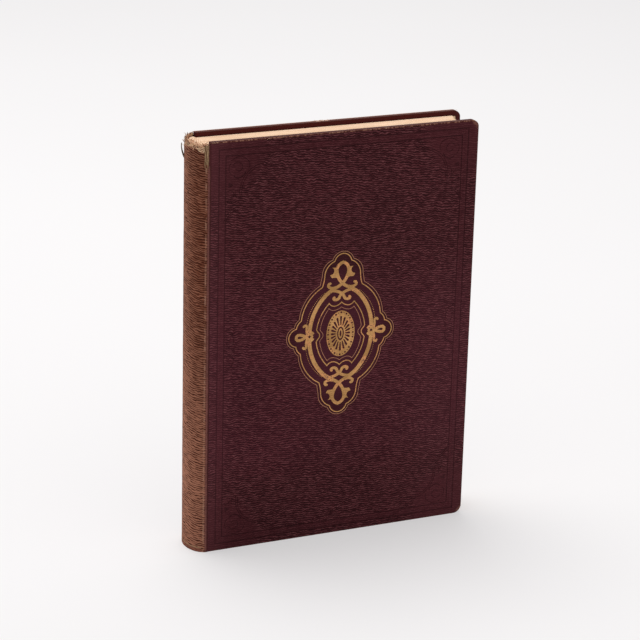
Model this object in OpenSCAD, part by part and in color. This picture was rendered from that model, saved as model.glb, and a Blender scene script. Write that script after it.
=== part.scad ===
// Old cloth-bound hardback book with a rounded spine, standing upright on its tail edges.
// X runs from the spine to the fore-edge, Y from the front cover to the back cover,
// Z from the tail to the head. The origin is under the middle of the closed book.

/* [Covers] */
// Height of the covers, tail to head
cover_h = 190; // [150:1:320]
// Width of a cover, joint line to fore-edge
cover_w = 127.8; // [100:0.1:240]
// Thickness of the closed book over both covers
book_t = 21.4; // [18:0.1:60]
// Thickness of a board
board_t = 2.3; // [1.6:0.1:3]
// Thickness of the covering cloth
cloth_t = 0.35; // [0.25:0.05:0.45]
// Width of the cloth turned in over the edges of the boards
turn_in = 14; // [8:0.5:22]
// Radius of the rubbed head corner of a cover
head_corner_r = 3; // [1:0.5:6]
// Radius of the rubbed tail corner of a cover
tail_corner_r = 4; // [1:0.5:6]
// Slit between a cover and the cloth of the spine, in which the joint bends
joint_slit = 0.2; // [0.15:0.05:0.5]

/* [Spine] */
// How far the spine bulges beyond the joint lines
spine_round = 7.2; // [5.5:0.1:9]
// Thickness of the card strip behind the cloth of the spine
inlay_t = 0.45; // [0.3:0.05:0.6]
// Width of the ridge of cloth between a joint line and the card strip
joint_ridge_w = 2.3; // [1.8:0.1:3]
// Depth of the crease where the ridge meets the card strip
crease_depth = 0.15; // [0.05:0.05:0.2]
// Height of the cloth turned in at the tail of the spine
spine_turn_in = 12; // [6:0.5:15]
// Distance by which the card strip stands above the torn cloth at the head
inlay_stands_up = 0.8; // [0.2:0.1:1.1]

/* [Text block] */
// Square: how far the covers stand out over the pages at the head and the tail
square_end = 2.4; // [1.5:0.1:5]
// Square at the fore-edge
square_fore = 2.9; // [1.5:0.1:5]
// Bulge of the backed spine of the pages
block_round = 4.2; // [2:0.1:4.5]
// Depth of the hollow in the fore-edge of the pages
fore_hollow = 2.0; // [0.5:0.1:3]
// Distance by which the shoulders of the pages stay under the outside of the covers
shoulder_drop = 1.3; // [1.2:0.1:2]
// Thickness of a pastedown or a flyleaf
leaf_t = 0.15; // [0.1:0.05:0.25]
// Gap between a pastedown and the flyleaf that it faces
leaf_gap = 0.1; // [0.1:0.05:0.3]
// Margin of board cloth left bare round a pastedown
pastedown_margin = 2.5; // [1:0.5:5]
// Thickness of the gauze glued on the spine of the pages
mull_t = 0.15; // [0.1:0.05:0.2]
// Width of the gauze glued on each board
mull_flange_w = 24; // [12:1:35]
// Distance from the ends of the pages to the ends of the gauze
mull_short = 18; // [16:1:30]
// Thickness of the paper glued over the gauze on the spine
lining_t = 0.15; // [0.1:0.05:0.2]
// Number of sewing cords sunk in the spine of the pages
cord_count = 3; // [2:1:5]
// Thickness of a sewing cord
cord_d = 1.1; // [0.8:0.1:1.5]

/* [Gilt centrepiece] */
// Height of the centrepiece over its outer line
gilt_h = 77.6; // [60:0.1:100]
// Depth to which the centrepiece is stamped into the cloth
gilt_depth = 0.1; // [0.05:0.01:0.15]
// Height of the middle of the centrepiece above the tail
gilt_z = 96.9; // [70:0.1:160]
// Distance from the joint line to the middle of the centrepiece
gilt_x = 62.9; // [45:0.1:120]
// Angle by which the stamp sits askew, clockwise from the front (degrees)
gilt_turn = 0.6; // [0:0.1:1.5]
// Width of the gold strap round the oval
strap_w = 1.9; // [1.4:0.1:2.2]
// Width of the gold strap in the loops at the head and the foot of the centrepiece
loop_w = 1.5; // [1:0.1:1.8]
// Width of the heavy gold line
heavy_line_w = 0.45; // [0.3:0.05:0.6]
// Width of the fine gold line
fine_line_w = 0.25; // [0.15:0.05:0.35]
// Number of petals in the rosette
petal_count = 20; // [12:4:28]

/* [Blind tooling] */
// Width of a tooled line
tool_w = 0.5; // [0.3:0.1:0.8]
// Depth of a tooled line
tool_depth = 0.12; // [0.05:0.01:0.15]
// Distance from the head and the tail to the outer line of the frame
frame_inset = 3.3; // [2:0.1:6]
// Distance from the joint line to the outer line of the frame
frame_joint_inset = 3.7; // [2:0.1:6]
// Distance from the fore-edge to the outer line of the frame
frame_fore_inset = 4.9; // [2:0.1:8]
// Distance between the outer and the inner line of the frame
frame_band_w = 3.1; // [2:0.1:4]
// Gap between the two lines of a bow
bow_gap = 0.9; // [0.7:0.1:1.5]
// Distance from the side line of the frame to the middle of a corner bow
bow_from_side = 22; // [20:0.5:30]
// Distance from the head or tail line of the frame to the middle of a corner bow
bow_from_end = 19.7; // [19:0.1:30]
// Radius of a corner bow
bow_r = 11.5; // [8:0.5:12]

/* [Hidden] */
$fn = 48;

// Places that the sizes above settle
half_w = (cover_w + spine_round) / 2;
fore_x = half_w;
joint_x = spine_round - half_w;
half_t = book_t / 2;
cover_t = board_t + 2 * cloth_t;
block_half_t = half_t - cover_t - 2 * leaf_t - leaf_gap;
block_fore_x = fore_x - square_fore;
block_z0 = square_end;
block_h = cover_h - 2 * square_end;
shoulder_x = joint_x - joint_slit;
shoulder_lean = 0.4;
block_spine_x = shoulder_x - shoulder_lean;
cut = 1;
least_corner_r = 0.1;
spine_steps = 44;

cloth_red = [0.24, 0.11, 0.13];
spine_brown = [0.52, 0.33, 0.20];
board_grey = [0.62, 0.55, 0.45];
page_cream = [0.94, 0.85, 0.70];
endpaper_cream = [0.90, 0.84, 0.72];
gauze_cream = [0.86, 0.80, 0.66];
gold = [0.83, 0.66, 0.33];

// Sections of the rounded spine, seen from above: angle 0 is the front joint, 180 the back joint
function unit(v) = v / norm(v);
function oval(cx, a, b, angle) = [cx - a * sin(angle), -b * cos(angle)];
function oval_normal(a, b, angle) = unit([-sin(angle) / a, -cos(angle) / b]);
function oval_inset(cx, a, b, angle, d) = oval(cx, a, b, angle) - d * oval_normal(a, b, angle);
function backwards(list) = [for (i = [len(list) - 1:-1:0]) list[i]];

spine_a = spine_round - joint_slit;
crease_angle = asin(joint_ridge_w / spine_a);
crease_spread = 4;
inlay_angle = crease_angle + 2;
mull_angle = 10;
cord_angle = 14;
function crease(angle) =
    crease_depth * exp(-pow((min(angle, 180 - angle) - crease_angle) / crease_spread, 2));
function case_point(angle, d) = oval_inset(shoulder_x, spine_a, half_t, angle, d);
function block_point(angle, d) =
    oval_inset(block_spine_x, block_round, half_t - shoulder_drop, angle, -d);

// Bands round the spine between two depths, from "angle" to 180 - angle.
// Their corners stay on the same steps, so that bands seat on one another
spine_step = 180 / spine_steps;
function steps_from(angle) =
    let (first = round(angle / spine_step))
    [for (i = [first:spine_steps - first]) i * spine_step];
function case_band(d_out, d_in, angle) = concat(
    [for (a = steps_from(angle)) case_point(a, d_out + (d_out == 0 ? crease(a) : 0))],
    backwards([for (a = steps_from(angle)) case_point(a, d_in)])
);
function block_band(d_out, d_in, angle) = concat(
    [for (a = steps_from(angle)) block_point(a, d_out)],
    backwards([for (a = steps_from(angle)) block_point(a, d_in)])
);

// Torn head of the spine: [share of the half thickness across the spine, cloth lost from the head]
torn_head = [
    [-1.1, 0.9], [-1.0, 1.1], [-0.985, 2.3], [-0.93, 2.4], [-0.89, 3.1], [-0.84, 2.9], [-0.8, 3.8],
    [-0.7, 3.5], [-0.6, 3.9], [-0.54, 3.1], [-0.48, 3.3], [-0.36, 2.8], [-0.2, 2.9], [-0.1, 2.6],
    [0.1, 3.1], [0.24, 3.0], [0.4, 3.8], [0.5, 3.9], [0.58, 4.4], [0.68, 3.6], [0.78, 3.7],
    [0.86, 2.6], [0.94, 2.4], [1.0, 1.1], [1.1, 0.9]
];

// Everything above the torn edge, raised by "up"
module above_torn_head(up) {
    edge = [for (p = torn_head) [p[0] * half_t, cover_h - p[1] + up]];
    translate([-half_w - cut, 0, 0])
        rotate([90, 0, 90])
            linear_extrude(spine_round + 2 * cut)
                polygon(concat(
                    [[-2 * half_t, cover_h + 2 * cut + up]],
                    [[-2 * half_t, edge[0][1]]],
                    edge,
                    [[2 * half_t, edge[len(edge) - 1][1]]],
                    [[2 * half_t, cover_h + 2 * cut + up]]
                ));
}

// A plate of the front cover: 2-D children drawn in X and Z, from depth d0 to depth d1 under its face
module plate(d0, d1) {
    translate([0, d1 - half_t, 0])
        rotate([90, 0, 0])
            linear_extrude(d1 - d0)
                children();
}

module square_minus_circle(r) {
    difference() {
        square([r + cut, r + cut]);
        circle(r);
    }
}

// Outline of a cover drawn in by "inset" at the head, the tail and the fore-edge,
// starting "from" beyond the joint line
module cover_outline(inset, from) {
    r_head = max(head_corner_r - inset, least_corner_r);
    r_tail = max(tail_corner_r - inset, least_corner_r);
    difference() {
        translate([joint_x + from, inset])
            square([cover_w - from - inset, cover_h - 2 * inset]);
        translate([fore_x - inset - r_head, cover_h - inset - r_head])
            square_minus_circle(r_head);
        translate([fore_x - inset - r_tail, inset + r_tail])
            mirror([0, 1])
                square_minus_circle(r_tail);
    }
}

// Paths built from arcs: each vertex is [x, y, rise], with the rise of the arc to the next vertex,
// positive to the left of the way
function arc_points(p, q, rise, n) =
    let (
        a = [p[0], p[1]],
        b = [q[0], q[1]],
        chord = norm(b - a),
        along = (b - a) / chord,
        left = [-along[1], along[0]]
    )
    abs(rise) < 0.01
        ? [a]
        : let (
            half_angle = 2 * atan(2 * rise / chord),
            r = chord / (2 * sin(half_angle)),
            centre = (a + b) / 2 + left * (rise - r)
        )
        [for (i = [0:n - 1])
            let (t = half_angle - 2 * half_angle * i / n)
            centre + r * (left * cos(t) - along * sin(t))];
function path(v, n) = concat(
    [for (i = [0:len(v) - 2]) each arc_points(v[i], v[i + 1], v[i][2], n)],
    [[v[len(v) - 1][0], v[len(v) - 1][1]]]
);
sharpest_corner = 0.6;
function corner_shift(before, here, after, w) =
    let (
        u = unit(here - before),
        v = unit(after - here),
        n = unit([-u[1] - v[1], u[0] + v[0]]),
        spread = max(sharpest_corner, n * [-u[1], u[0]])
    )
    n * w / spread;
function beside(line, w) = [for (i = [0:len(line) - 1])
    let (
        here = line[i],
        before = i > 0 ? line[i - 1] : 2 * here - line[1],
        after = i < len(line) - 1 ? line[i + 1] : 2 * here - line[i - 1]
    )
    here + corner_shift(before, here, after, w)];
function beside_loop(loop, w) = [for (i = [0:len(loop) - 1])
    loop[i] + corner_shift(
        loop[(i + len(loop) - 1) % len(loop)], loop[i], loop[(i + 1) % len(loop)], w)];

// A line of even width along an open path
module stroke(v, w, n = 6) {
    line = path(v, n);
    polygon(concat(beside(line, w / 2), backwards(beside(line, -w / 2))));
}

// A loop from one quarter of it, which runs from the top to the right-hand side
function four_quarters(q) =
    let (
        body = [for (i = [0:len(q) - 1]) q[i]],
        inner = [for (i = [1:len(q) - 2]) q[i]]
    )
    concat(
        body,
        backwards([for (p = inner) [p[0], -p[1]]]),
        [for (i = [0:len(q) - 2]) [-q[i][0], -q[i][1]]],
        [[-q[len(q) - 1][0], 0]],
        backwards([for (p = inner) [-p[0], p[1]]])
    );
module ring_line(loop, w) {
    difference() {
        polygon(beside_loop(loop, w / 2));
        polygon(beside_loop(loop, -w / 2));
    }
}

module mirror_both() {
    children();
    mirror([1, 0])
        children();
}
module four_ways() {
    mirror_both()
        children();
    mirror([0, 1])
        mirror_both()
            children();
}

// The gold is drawn about the middle of the centrepiece, at a height of its own.
// Its outlines are given as one quarter each
drawn_h = 77.6;
gilt_scale = gilt_h / drawn_h;
outer_quarter = [
    [0, 38.5, 1.05], [5.1, 34.8, 1.5], [9.9, 27.9, 0.05], [10.7, 23.5, 2.3], [20.4, 8.3, 0.45],
    [22.6, 4.9, 1.15], [26.15, 0, 0]
];
heavy_quarter = [
    [0, 37.5, 0.9], [4.1, 34.1, 1.3], [8.7, 27.4, -0.2], [9.7, 22.5, 2.2], [19.35, 7.75, 0.45],
    [21.6, 4.2, 0.95], [25.15, 0, 0]
];
cartouche_quarter = [
    [0, 14.8, -0.3], [3, 13.15, -0.5], [6.1, 14.7, 1.05], [11.8, 2.85, 0.1], [10.6, 1.2, -0.1],
    [10.2, 0, 0]
];
inner_cartouche_quarter = [
    [0, 12.5, -0.2], [3.2, 11.2, -0.4], [6.1, 12.3, 0.7], [10.1, 2.8, 0.1], [8.9, 1.1, -0.1],
    [8.55, 0, 0]
];
// The strap's middle line, from the side of the centrepiece to the crossing under its top,
// and on over the crossing to the loop
strap_line = [[15.1, 0, 0], [15.1, 3, -1.6], [7.8, 18.7, -0.1], [4.2, 21.1, 0]];
loop_line = [
    [5.2, 20.7, -0.05], [3.4, 21.6, 0.35], [-0.9, 24.6, 0.3], [-2.8, 28.9, 1.1], [0, 33.4, 0],
    [0.2, 33.4, 0]
];

// The petals and dots stand about evenly along the oval, so towards its sides they turn less
petal_crowding = 0.7;
function petal_turn(t) = atan2(petal_crowding * sin(t), cos(t));

module rosette() {
    difference() {
        oval_plate(6.9, 10.8);
        for (i = [0:petal_count - 1])
            let (
                t = 90 + i * 360 / petal_count,
                a = petal_turn(t),
                b = petal_turn(t + 180 / petal_count)
            ) {
                translate([6.1 * cos(a), 9.95 * sin(a)])
                    circle(0.46, $fn = 8);
                translate([6.15 * cos(b), 9.95 * sin(b)])
                    circle(0.25, $fn = 6);
                petal([2.3 * cos(a), 4.1 * sin(a)], [4.25 * cos(a), 7.75 * sin(a)]);
            }
        difference() {
            oval_plate(1.62, 3.2);
            oval_plate(1.08, 2.4);
        }
        oval_plate(0.42, 1.5);
    }
}
module oval_plate(a, b) {
    steps = 36;
    polygon([for (i = [0:steps - 1]) [a * cos(i * 360 / steps), b * sin(i * 360 / steps)]]);
}
// A slot that widens from p to q and has a round end
module petal(p, q) {
    along = unit(q - p);
    across = [-along[1], along[0]];
    root = 0.24;
    tip = 0.5;
    polygon(concat(
        [p + across * root, p - across * root],
        [for (i = [0:5]) let (t = -90 + i * 36) q + tip * (along * cos(t) + across * sin(t))]
    ));
}

// A scroll with a round knob at its end
module scroll(v, w, knob) {
    stroke(v, w, 4);
    end = v[len(v) - 1];
    translate([end[0], end[1]])
        circle(knob, $fn = 10);
}

module strapwork() {
    four_ways() {
        stroke(strap_line, strap_w, 7);
        stroke(loop_line, loop_w, 6);
        scroll([[3.1, 22, -0.4], [6.3, 22.2, -0.75], [5.9, 23.9, 0]], 1.25, 0.6);
        scroll([
            [-5, 20.5, 0.5], [0.4, 18.5, 0.1], [1.3, 16.8, -0.45], [3.7, 16.3, -0.25], [3.7, 17.2, 0]
        ], 1.35, 0.6);
        polygon(path([
            [2.6, 31.2, -0.1], [5.15, 31.3, -1.45], [6, 27.9, 0.25], [5, 26.4, -0.15], [2.8, 26.3, 0]
        ], 5));
        scroll([[16.3, 1.2, -0.2], [16.6, 4.5, 0.75], [18.1, 4.9, 0]], 1.1, 0.5);
        polygon([[14.6, 2.8], [13.4, 2.1], [12.8, 1.3], [13.6, 0.6], [13.2, 0], [15.0, 0]]);
        polygon([[15.9, 0], [16.2, 1.4], [18.1, 0.3], [18.1, 0]]);
    }
    side_knot();
    mirror([1, 0])
        side_knot();
}

module side_knot() {
    stroke([
        [15.2, 1.2, 0], [17.6, -0.5, -0.1], [19.8, -1.25, -1.8], [19.8, 1.25, -0.1], [17.6, 0.5, 0],
        [15.2, -1.2, 0]
    ], 1.35, 5);
}

module bead_rows() {
    bead_count = 20;
    bead_r = 0.19;
    four_ways()
        for (p = arc_points([16.6, 6.2], [7.9, 20.2], -1.75, bead_count))
            translate(p)
                circle(bead_r, $fn = 6);
}

module double_outlines() {
    ring_line(four_quarters(path(outer_quarter, 7)), fine_line_w);
    ring_line(four_quarters(path(heavy_quarter, 7)), heavy_line_w);
    ring_line(four_quarters(path(cartouche_quarter, 5)), heavy_line_w);
    ring_line(four_quarters(path(inner_cartouche_quarter, 5)), fine_line_w);
}
module pierced_strapwork() {
    difference() {
        strapwork();
        four_ways() {
            translate([0, 20.7])
                circle(0.7, $fn = 4);
            translate([15.1, 0])
                circle(0.75, $fn = 4);
        }
    }
}
// The gold runs together across slits that are narrower than twice "fill"
module run_together() {
    fill = 0.04;
    offset(delta = -fill)
        offset(delta = fill)
            children();
}
module gilt_ground() {
    margin = 0.4;
    polygon(gilt_scale * beside_loop(four_quarters(path(outer_quarter, 5)), margin));
}
module at_centrepiece() {
    translate([joint_x + gilt_x, gilt_z])
        rotate(-gilt_turn)
            children();
}

// Blind tooling, as on both covers: a frame of two lines, and inside it bows and scrolls
frame_low = [joint_x + frame_joint_inset, frame_inset];
frame_high = [fore_x - frame_fore_inset, cover_h - frame_inset];
frame_mid = (frame_low + frame_high) / 2;
fine_tool_w = tool_w / 2;

module tool_line(p, q) {
    polygon([
        [p[0] - tool_w / 2, p[1] - tool_w / 2], [q[0] + tool_w / 2, p[1] - tool_w / 2],
        [q[0] + tool_w / 2, q[1] + tool_w / 2], [p[0] - tool_w / 2, q[1] + tool_w / 2]
    ]);
}
module frame_line(inset) {
    low = frame_low + [inset, inset];
    high = frame_high - [inset, inset];
    tool_line(low, [high[0], low[1]]);
    tool_line([low[0], high[1]], high);
    tool_line(low + [0, tool_w], [low[0], high[1] - tool_w]);
    tool_line([high[0], low[1] + tool_w], high - [0, tool_w]);
}
// A bow of two fine lines, from one angle round to the other, about its own middle
module bow(r, from_angle, to_angle) {
    arc_step = 11;
    rise = r * (1 - cos((from_angle - to_angle) / 2));
    n = ceil((from_angle - to_angle) / arc_step);
    for (k = [r, r + bow_gap])
        stroke([
            [k * cos(from_angle), k * sin(from_angle), rise * k / r],
            [k * cos(to_angle), k * sin(to_angle), 0]
        ], fine_tool_w, n);
}
// The corner at the head and the joint, drawn about the middle of its bow
module corner_bows() {
    bow(bow_r, 190, 72);
    translate([-12.1, -14.1])
        bow(0.58 * bow_r, 172, 98);
    translate([4, 13.6])
        bow(0.21 * bow_r, 165, 105);
}
module corner_scroll() {
    stroke([[-16.4, 14.4, 1.7], [-8.6, 14, 0.5], [-8.2, 10.8, 0]], fine_tool_w, 5);
    stroke([[-16.6, 13.2, -1], [-16.4, 8.4, 0]], fine_tool_w, 4);
    stroke([
        [-15.5, 12.2, 1.2], [-11.7, 12.6, 0.8], [-12.2, 9.8, 0.5], [-14.2, 10.6, 0]
    ], fine_tool_w, 4);
    stroke([[-15.2, 7.6, -0.9], [-11.2, 7.2, -0.3], [-9.8, 9, 0]], tool_w, 4);
}
module corner_leaf() {
    polygon([[-17.7, 2.4], [-15.3, 3.4], [-17.4, 4.8]]);
    stroke([[-18.2, 0.6, 0.7], [-15.4, 0.2, 0.6], [-15.6, -1.8, 0.4], [-17, -1.2, 0]], fine_tool_w, 4);
    stroke([[-14.2, 1.4, -0.3], [-13.8, -2.4, 0]], fine_tool_w, 3);
    stroke([[-18.2, -3.9, -0.2], [-13.9, -4.1, 0]], fine_tool_w, 3);
}
module at_corners() {
    reach = (frame_high - frame_low) / 2 - [bow_from_side, bow_from_end];
    for (sx = [-1, 1], sz = [-1, 1])
        translate([frame_mid[0] + sx * reach[0], frame_mid[1] + sz * reach[1]])
            mirror([sx > 0 ? 1 : 0, 0])
                mirror([0, sz < 0 ? 1 : 0])
                    children();
}
// A pointed bow in the middle of the head line, and of the tail line
module end_bow() {
    for (rise = [0, bow_gap])
        stroke([
            [-10.4, 3 + rise, 0.1], [-4.5, 2.3 + rise, 0.3], [0, rise, 0.3], [4.5, 2.3 + rise, 0.1],
            [10.4, 3 + rise, 0]
        ], fine_tool_w, 3);
    mirror_both()
        stroke([[10.4, 2.8, -0.3], [11.9, 5.2, 0]], fine_tool_w, 3);
}
module at_ends() {
    point_drop = 9.2;
    translate([frame_mid[0], frame_high[1] - point_drop])
        children();
    translate([frame_mid[0], frame_low[1] + point_drop])
        mirror([0, 1])
            children();
}
// Two facing scrolls at the middle of each side line
module side_scrolls() {
    stroke([[0.4, 9.6, 1], [4.6, 4.6, 0.7], [2.4, 1.8, 0.5], [1.5, 3.8, 0]], fine_tool_w, 4);
    stroke([[2.6, 8.8, 0.2], [4.9, 6.6, 0]], fine_tool_w, 2);
    mirror([0, 1])
        stroke([[0.4, 9.6, 1], [4.6, 4.6, 0.7], [2.4, 1.8, 0.5], [1.5, 3.8, 0]], fine_tool_w, 4);
    polygon([[3.8, 0], [4.6, 1.1], [5.4, 0], [4.6, -1.1]]);
}
module at_sides() {
    translate([frame_low[0] + frame_band_w, frame_mid[1]])
        children();
    translate([frame_high[0] - frame_band_w, frame_mid[1]])
        mirror([1, 0])
            children();
}
module tooling() {
    for (inset = [0, frame_band_w])
        plate(-cut, tool_depth)
            frame_line(inset);
    plate(-cut, tool_depth)
        at_corners() {
            corner_bows();
            corner_scroll();
            corner_leaf();
        }
    plate(-cut, tool_depth)
        at_ends()
            end_bow();
    plate(-cut, tool_depth)
        at_sides()
            side_scrolls();
}

// Pieces of a cover, drawn for the front one
module board() {
    plate(cloth_t, cloth_t + board_t)
        cover_outline(cloth_t, joint_slit);
}
module cover_cloth() {
    difference() {
        plate(0, cover_t)
            cover_outline(0, 0);
        plate(cloth_t, cloth_t + board_t)
            cover_outline(cloth_t, -cut);
        plate(cloth_t + board_t, cover_t + cut)
            cover_outline(turn_in, -cut);
        tooling();
    }
}
module mull_flange() {
    plate(cloth_t + board_t, cloth_t + board_t + mull_t)
        translate([joint_x + joint_slit, block_z0 + mull_short])
            square([mull_flange_w, block_h - 2 * mull_short]);
}
module pastedown() {
    board_face = cloth_t + board_t;
    over_flange = [
        mull_flange_w + joint_slit + leaf_t + 2 * cut,
        block_h - 2 * mull_short + 2 * leaf_t
    ];
    difference() {
        union() {
            plate(cover_t, cover_t + leaf_t)
                cover_outline(pastedown_margin, joint_slit);
            plate(board_face, cover_t)
                cover_outline(turn_in, joint_slit);
        }
        plate(board_face + leaf_t, cover_t + cut)
            difference() {
                cover_outline(turn_in + leaf_t, -cut);
                translate([joint_x - 2 * cut, block_z0 + mull_short - leaf_t])
                    square(over_flange);
            }
        plate(board_face + leaf_t + mull_t, cover_t + cut)
            cover_outline(turn_in + leaf_t, -cut);
        mull_flange();
    }
}
module to_back() {
    mirror([0, 1, 0])
        children();
}

module text_block() {
    hollow_r = (block_half_t * block_half_t + fore_hollow * fore_hollow) / (2 * fore_hollow);
    color(page_cream)
        difference() {
            translate([0, 0, block_z0])
                linear_extrude(block_h)
                    polygon(concat(
                        [[block_fore_x, block_half_t], [shoulder_x, block_half_t]],
                        backwards([for (a = steps_from(0)) block_point(a, 0)]),
                        [[shoulder_x, -block_half_t], [block_fore_x, -block_half_t]]
                    ));
            translate([block_fore_x - fore_hollow + hollow_r, 0, 0])
                cylinder(h = cover_h, r = hollow_r, $fn = 96);
            cords();
        }
}
module cords() {
    for (i = [1:cord_count])
        translate([0, 0, block_z0 + block_h * i / (cord_count + 1) - cord_d / 2])
            linear_extrude(cord_d)
                polygon(block_band(0, -cord_d, cord_angle));
}
module sewing_cords() {
    color(gauze_cream)
        cords();
}
module on_block_spine(d_out, d_in) {
    translate([0, 0, block_z0 + mull_short])
        linear_extrude(block_h - 2 * mull_short)
            polygon(block_band(d_out, d_in, mull_angle));
}
module spine_mull() {
    color(gauze_cream)
        on_block_spine(mull_t, 0);
}
module spine_lining() {
    color(endpaper_cream)
        on_block_spine(mull_t + lining_t, mull_t);
}
module flyleaf() {
    leaf_w = block_fore_x - joint_x;
    translate([joint_x, -block_half_t - leaf_t, block_z0])
        cube([leaf_w, leaf_t, block_h]);
}
module front_flyleaf() {
    color(endpaper_cream)
        flyleaf();
}
module back_flyleaf() {
    color(endpaper_cream)
        to_back()
            flyleaf();
}
module spine_inlay() {
    color(endpaper_cream)
        difference() {
            translate([0, 0, cloth_t])
                linear_extrude(cover_h - cloth_t)
                    polygon(case_band(cloth_t, cloth_t + inlay_t, inlay_angle));
            above_torn_head(inlay_stands_up);
        }
}
module spine_cloth() {
    color(spine_brown)
        difference() {
            union() {
                linear_extrude(cover_h)
                    polygon(case_band(0, cloth_t, 0));
                linear_extrude(cloth_t)
                    polygon(case_band(0, cloth_t + inlay_t + cloth_t, inlay_angle));
                linear_extrude(spine_turn_in)
                    polygon(case_band(cloth_t + inlay_t, cloth_t + inlay_t + cloth_t, inlay_angle));
            }
            above_torn_head(0);
        }
}
module front_board() {
    color(board_grey)
        board();
}
module back_board() {
    color(board_grey)
        to_back()
            board();
}
module front_cover_cloth() {
    color(cloth_red)
        difference() {
            cover_cloth();
            plate(-cut, gilt_depth)
                at_centrepiece()
                    gilt_ground();
        }
}
module back_cover_cloth() {
    color(cloth_red)
        to_back()
            cover_cloth();
}
module front_mull_flange() {
    color(gauze_cream)
        mull_flange();
}
module back_mull_flange() {
    color(gauze_cream)
        to_back()
            mull_flange();
}
module front_pastedown() {
    color(endpaper_cream)
        pastedown();
}
module back_pastedown() {
    color(endpaper_cream)
        to_back()
            pastedown();
}
module gold_leaf() {
    plate(0, gilt_depth)
        at_centrepiece()
            run_together()
                scale([gilt_scale, gilt_scale])
                    children();
}
module gilt_centrepiece() {
    color(gold) {
        gold_leaf()
            double_outlines();
        gold_leaf()
            pierced_strapwork();
        gold_leaf()
            bead_rows();
        gold_leaf()
            rosette();
    }
}

text_block();
sewing_cords();
spine_mull();
spine_lining();
front_flyleaf();
back_flyleaf();
spine_inlay();
spine_cloth();
front_board();
front_cover_cloth();
front_mull_flange();
front_pastedown();
gilt_centrepiece();
back_board();
back_cover_cloth();
back_mull_flange();
back_pastedown();
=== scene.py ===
"""Looks of an old cloth-bound hardback book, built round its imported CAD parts."""

import math
import random

import bmesh
import bpy
from mathutils import Matrix, Vector, noise


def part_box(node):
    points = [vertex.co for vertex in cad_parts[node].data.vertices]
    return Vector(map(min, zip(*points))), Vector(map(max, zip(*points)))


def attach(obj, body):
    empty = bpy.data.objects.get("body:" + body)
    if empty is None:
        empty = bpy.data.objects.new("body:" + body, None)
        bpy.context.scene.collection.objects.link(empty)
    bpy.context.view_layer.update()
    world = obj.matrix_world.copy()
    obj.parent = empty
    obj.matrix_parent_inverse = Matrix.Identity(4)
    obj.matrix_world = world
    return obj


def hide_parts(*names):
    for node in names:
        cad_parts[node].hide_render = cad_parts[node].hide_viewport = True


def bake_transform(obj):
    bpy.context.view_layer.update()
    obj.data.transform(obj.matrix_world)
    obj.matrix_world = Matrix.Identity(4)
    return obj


bl_info = {
    "name": "Old Cloth-bound Hardback",
    "version": (1, 0, 0),
    "blender": (4, 5, 0),
    "location": "View3D > Sidebar > Book",
    "description": "Cloth, gold, paper and wear of an old hardback book round its CAD parts",
    "category": "Object",
}

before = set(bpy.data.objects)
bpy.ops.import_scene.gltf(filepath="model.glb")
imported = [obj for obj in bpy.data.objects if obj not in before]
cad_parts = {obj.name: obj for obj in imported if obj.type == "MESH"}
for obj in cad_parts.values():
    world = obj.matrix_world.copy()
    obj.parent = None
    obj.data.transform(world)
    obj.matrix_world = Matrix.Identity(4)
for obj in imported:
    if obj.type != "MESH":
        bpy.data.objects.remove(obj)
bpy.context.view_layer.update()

MM = 0.001
COVER_LOW, COVER_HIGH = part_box("front_cover_cloth")
SPINE_LOW, SPINE_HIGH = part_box("spine_cloth")
BLOCK_LOW, BLOCK_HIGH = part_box("text_block")
GILT_LOW, GILT_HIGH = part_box("gilt_centrepiece")
FRONT, BACK = -1, 1
FLYLEAF_LOW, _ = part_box("front_flyleaf")

JOINT_X = COVER_LOW.x
FORE_X = COVER_HIGH.x
HALF_T = -COVER_LOW.y
COVER_T = COVER_HIGH.y - COVER_LOW.y
COVER_H = COVER_HIGH.z
SHOULDER_X = SPINE_HIGH.x
SPINE_A = SHOULDER_X - SPINE_LOW.x
CLOTH_T = 0.35 * MM
TRIM_T = 0.05 * MM
RIDGE_W = 2.3 * MM

# The torn head of the spine: share of the half thickness across it, and the cloth lost in mm
TORN_HEAD = (
    (-1.1, 0.9), (-1.0, 1.1), (-0.985, 2.6), (-0.94, 4.3), (-0.89, 4.1), (-0.84, 3.4),
    (-0.8, 3.5), (-0.7, 2.7), (-0.6, 2.9), (-0.54, 2.4), (-0.48, 2.7), (-0.36, 2.4),
    (-0.2, 2.8), (-0.1, 2.6), (0.1, 2.9), (0.24, 2.6), (0.4, 3.4), (0.5, 3.6), (0.58, 4.2),
    (0.68, 3.4), (0.78, 3.5), (0.86, 2.6), (0.94, 2.4), (1.0, 1.1), (1.1, 0.9),
)

# Blind-tooled frame: its outer lines' distances from the joint, the fore-edge and the two ends
FRAME_JOINT = 3.7 * MM
FRAME_FORE = 4.9 * MM
FRAME_END = 3.3 * MM
FRAME_BAND = 3.1 * MM


# Settings that a user would change

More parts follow.
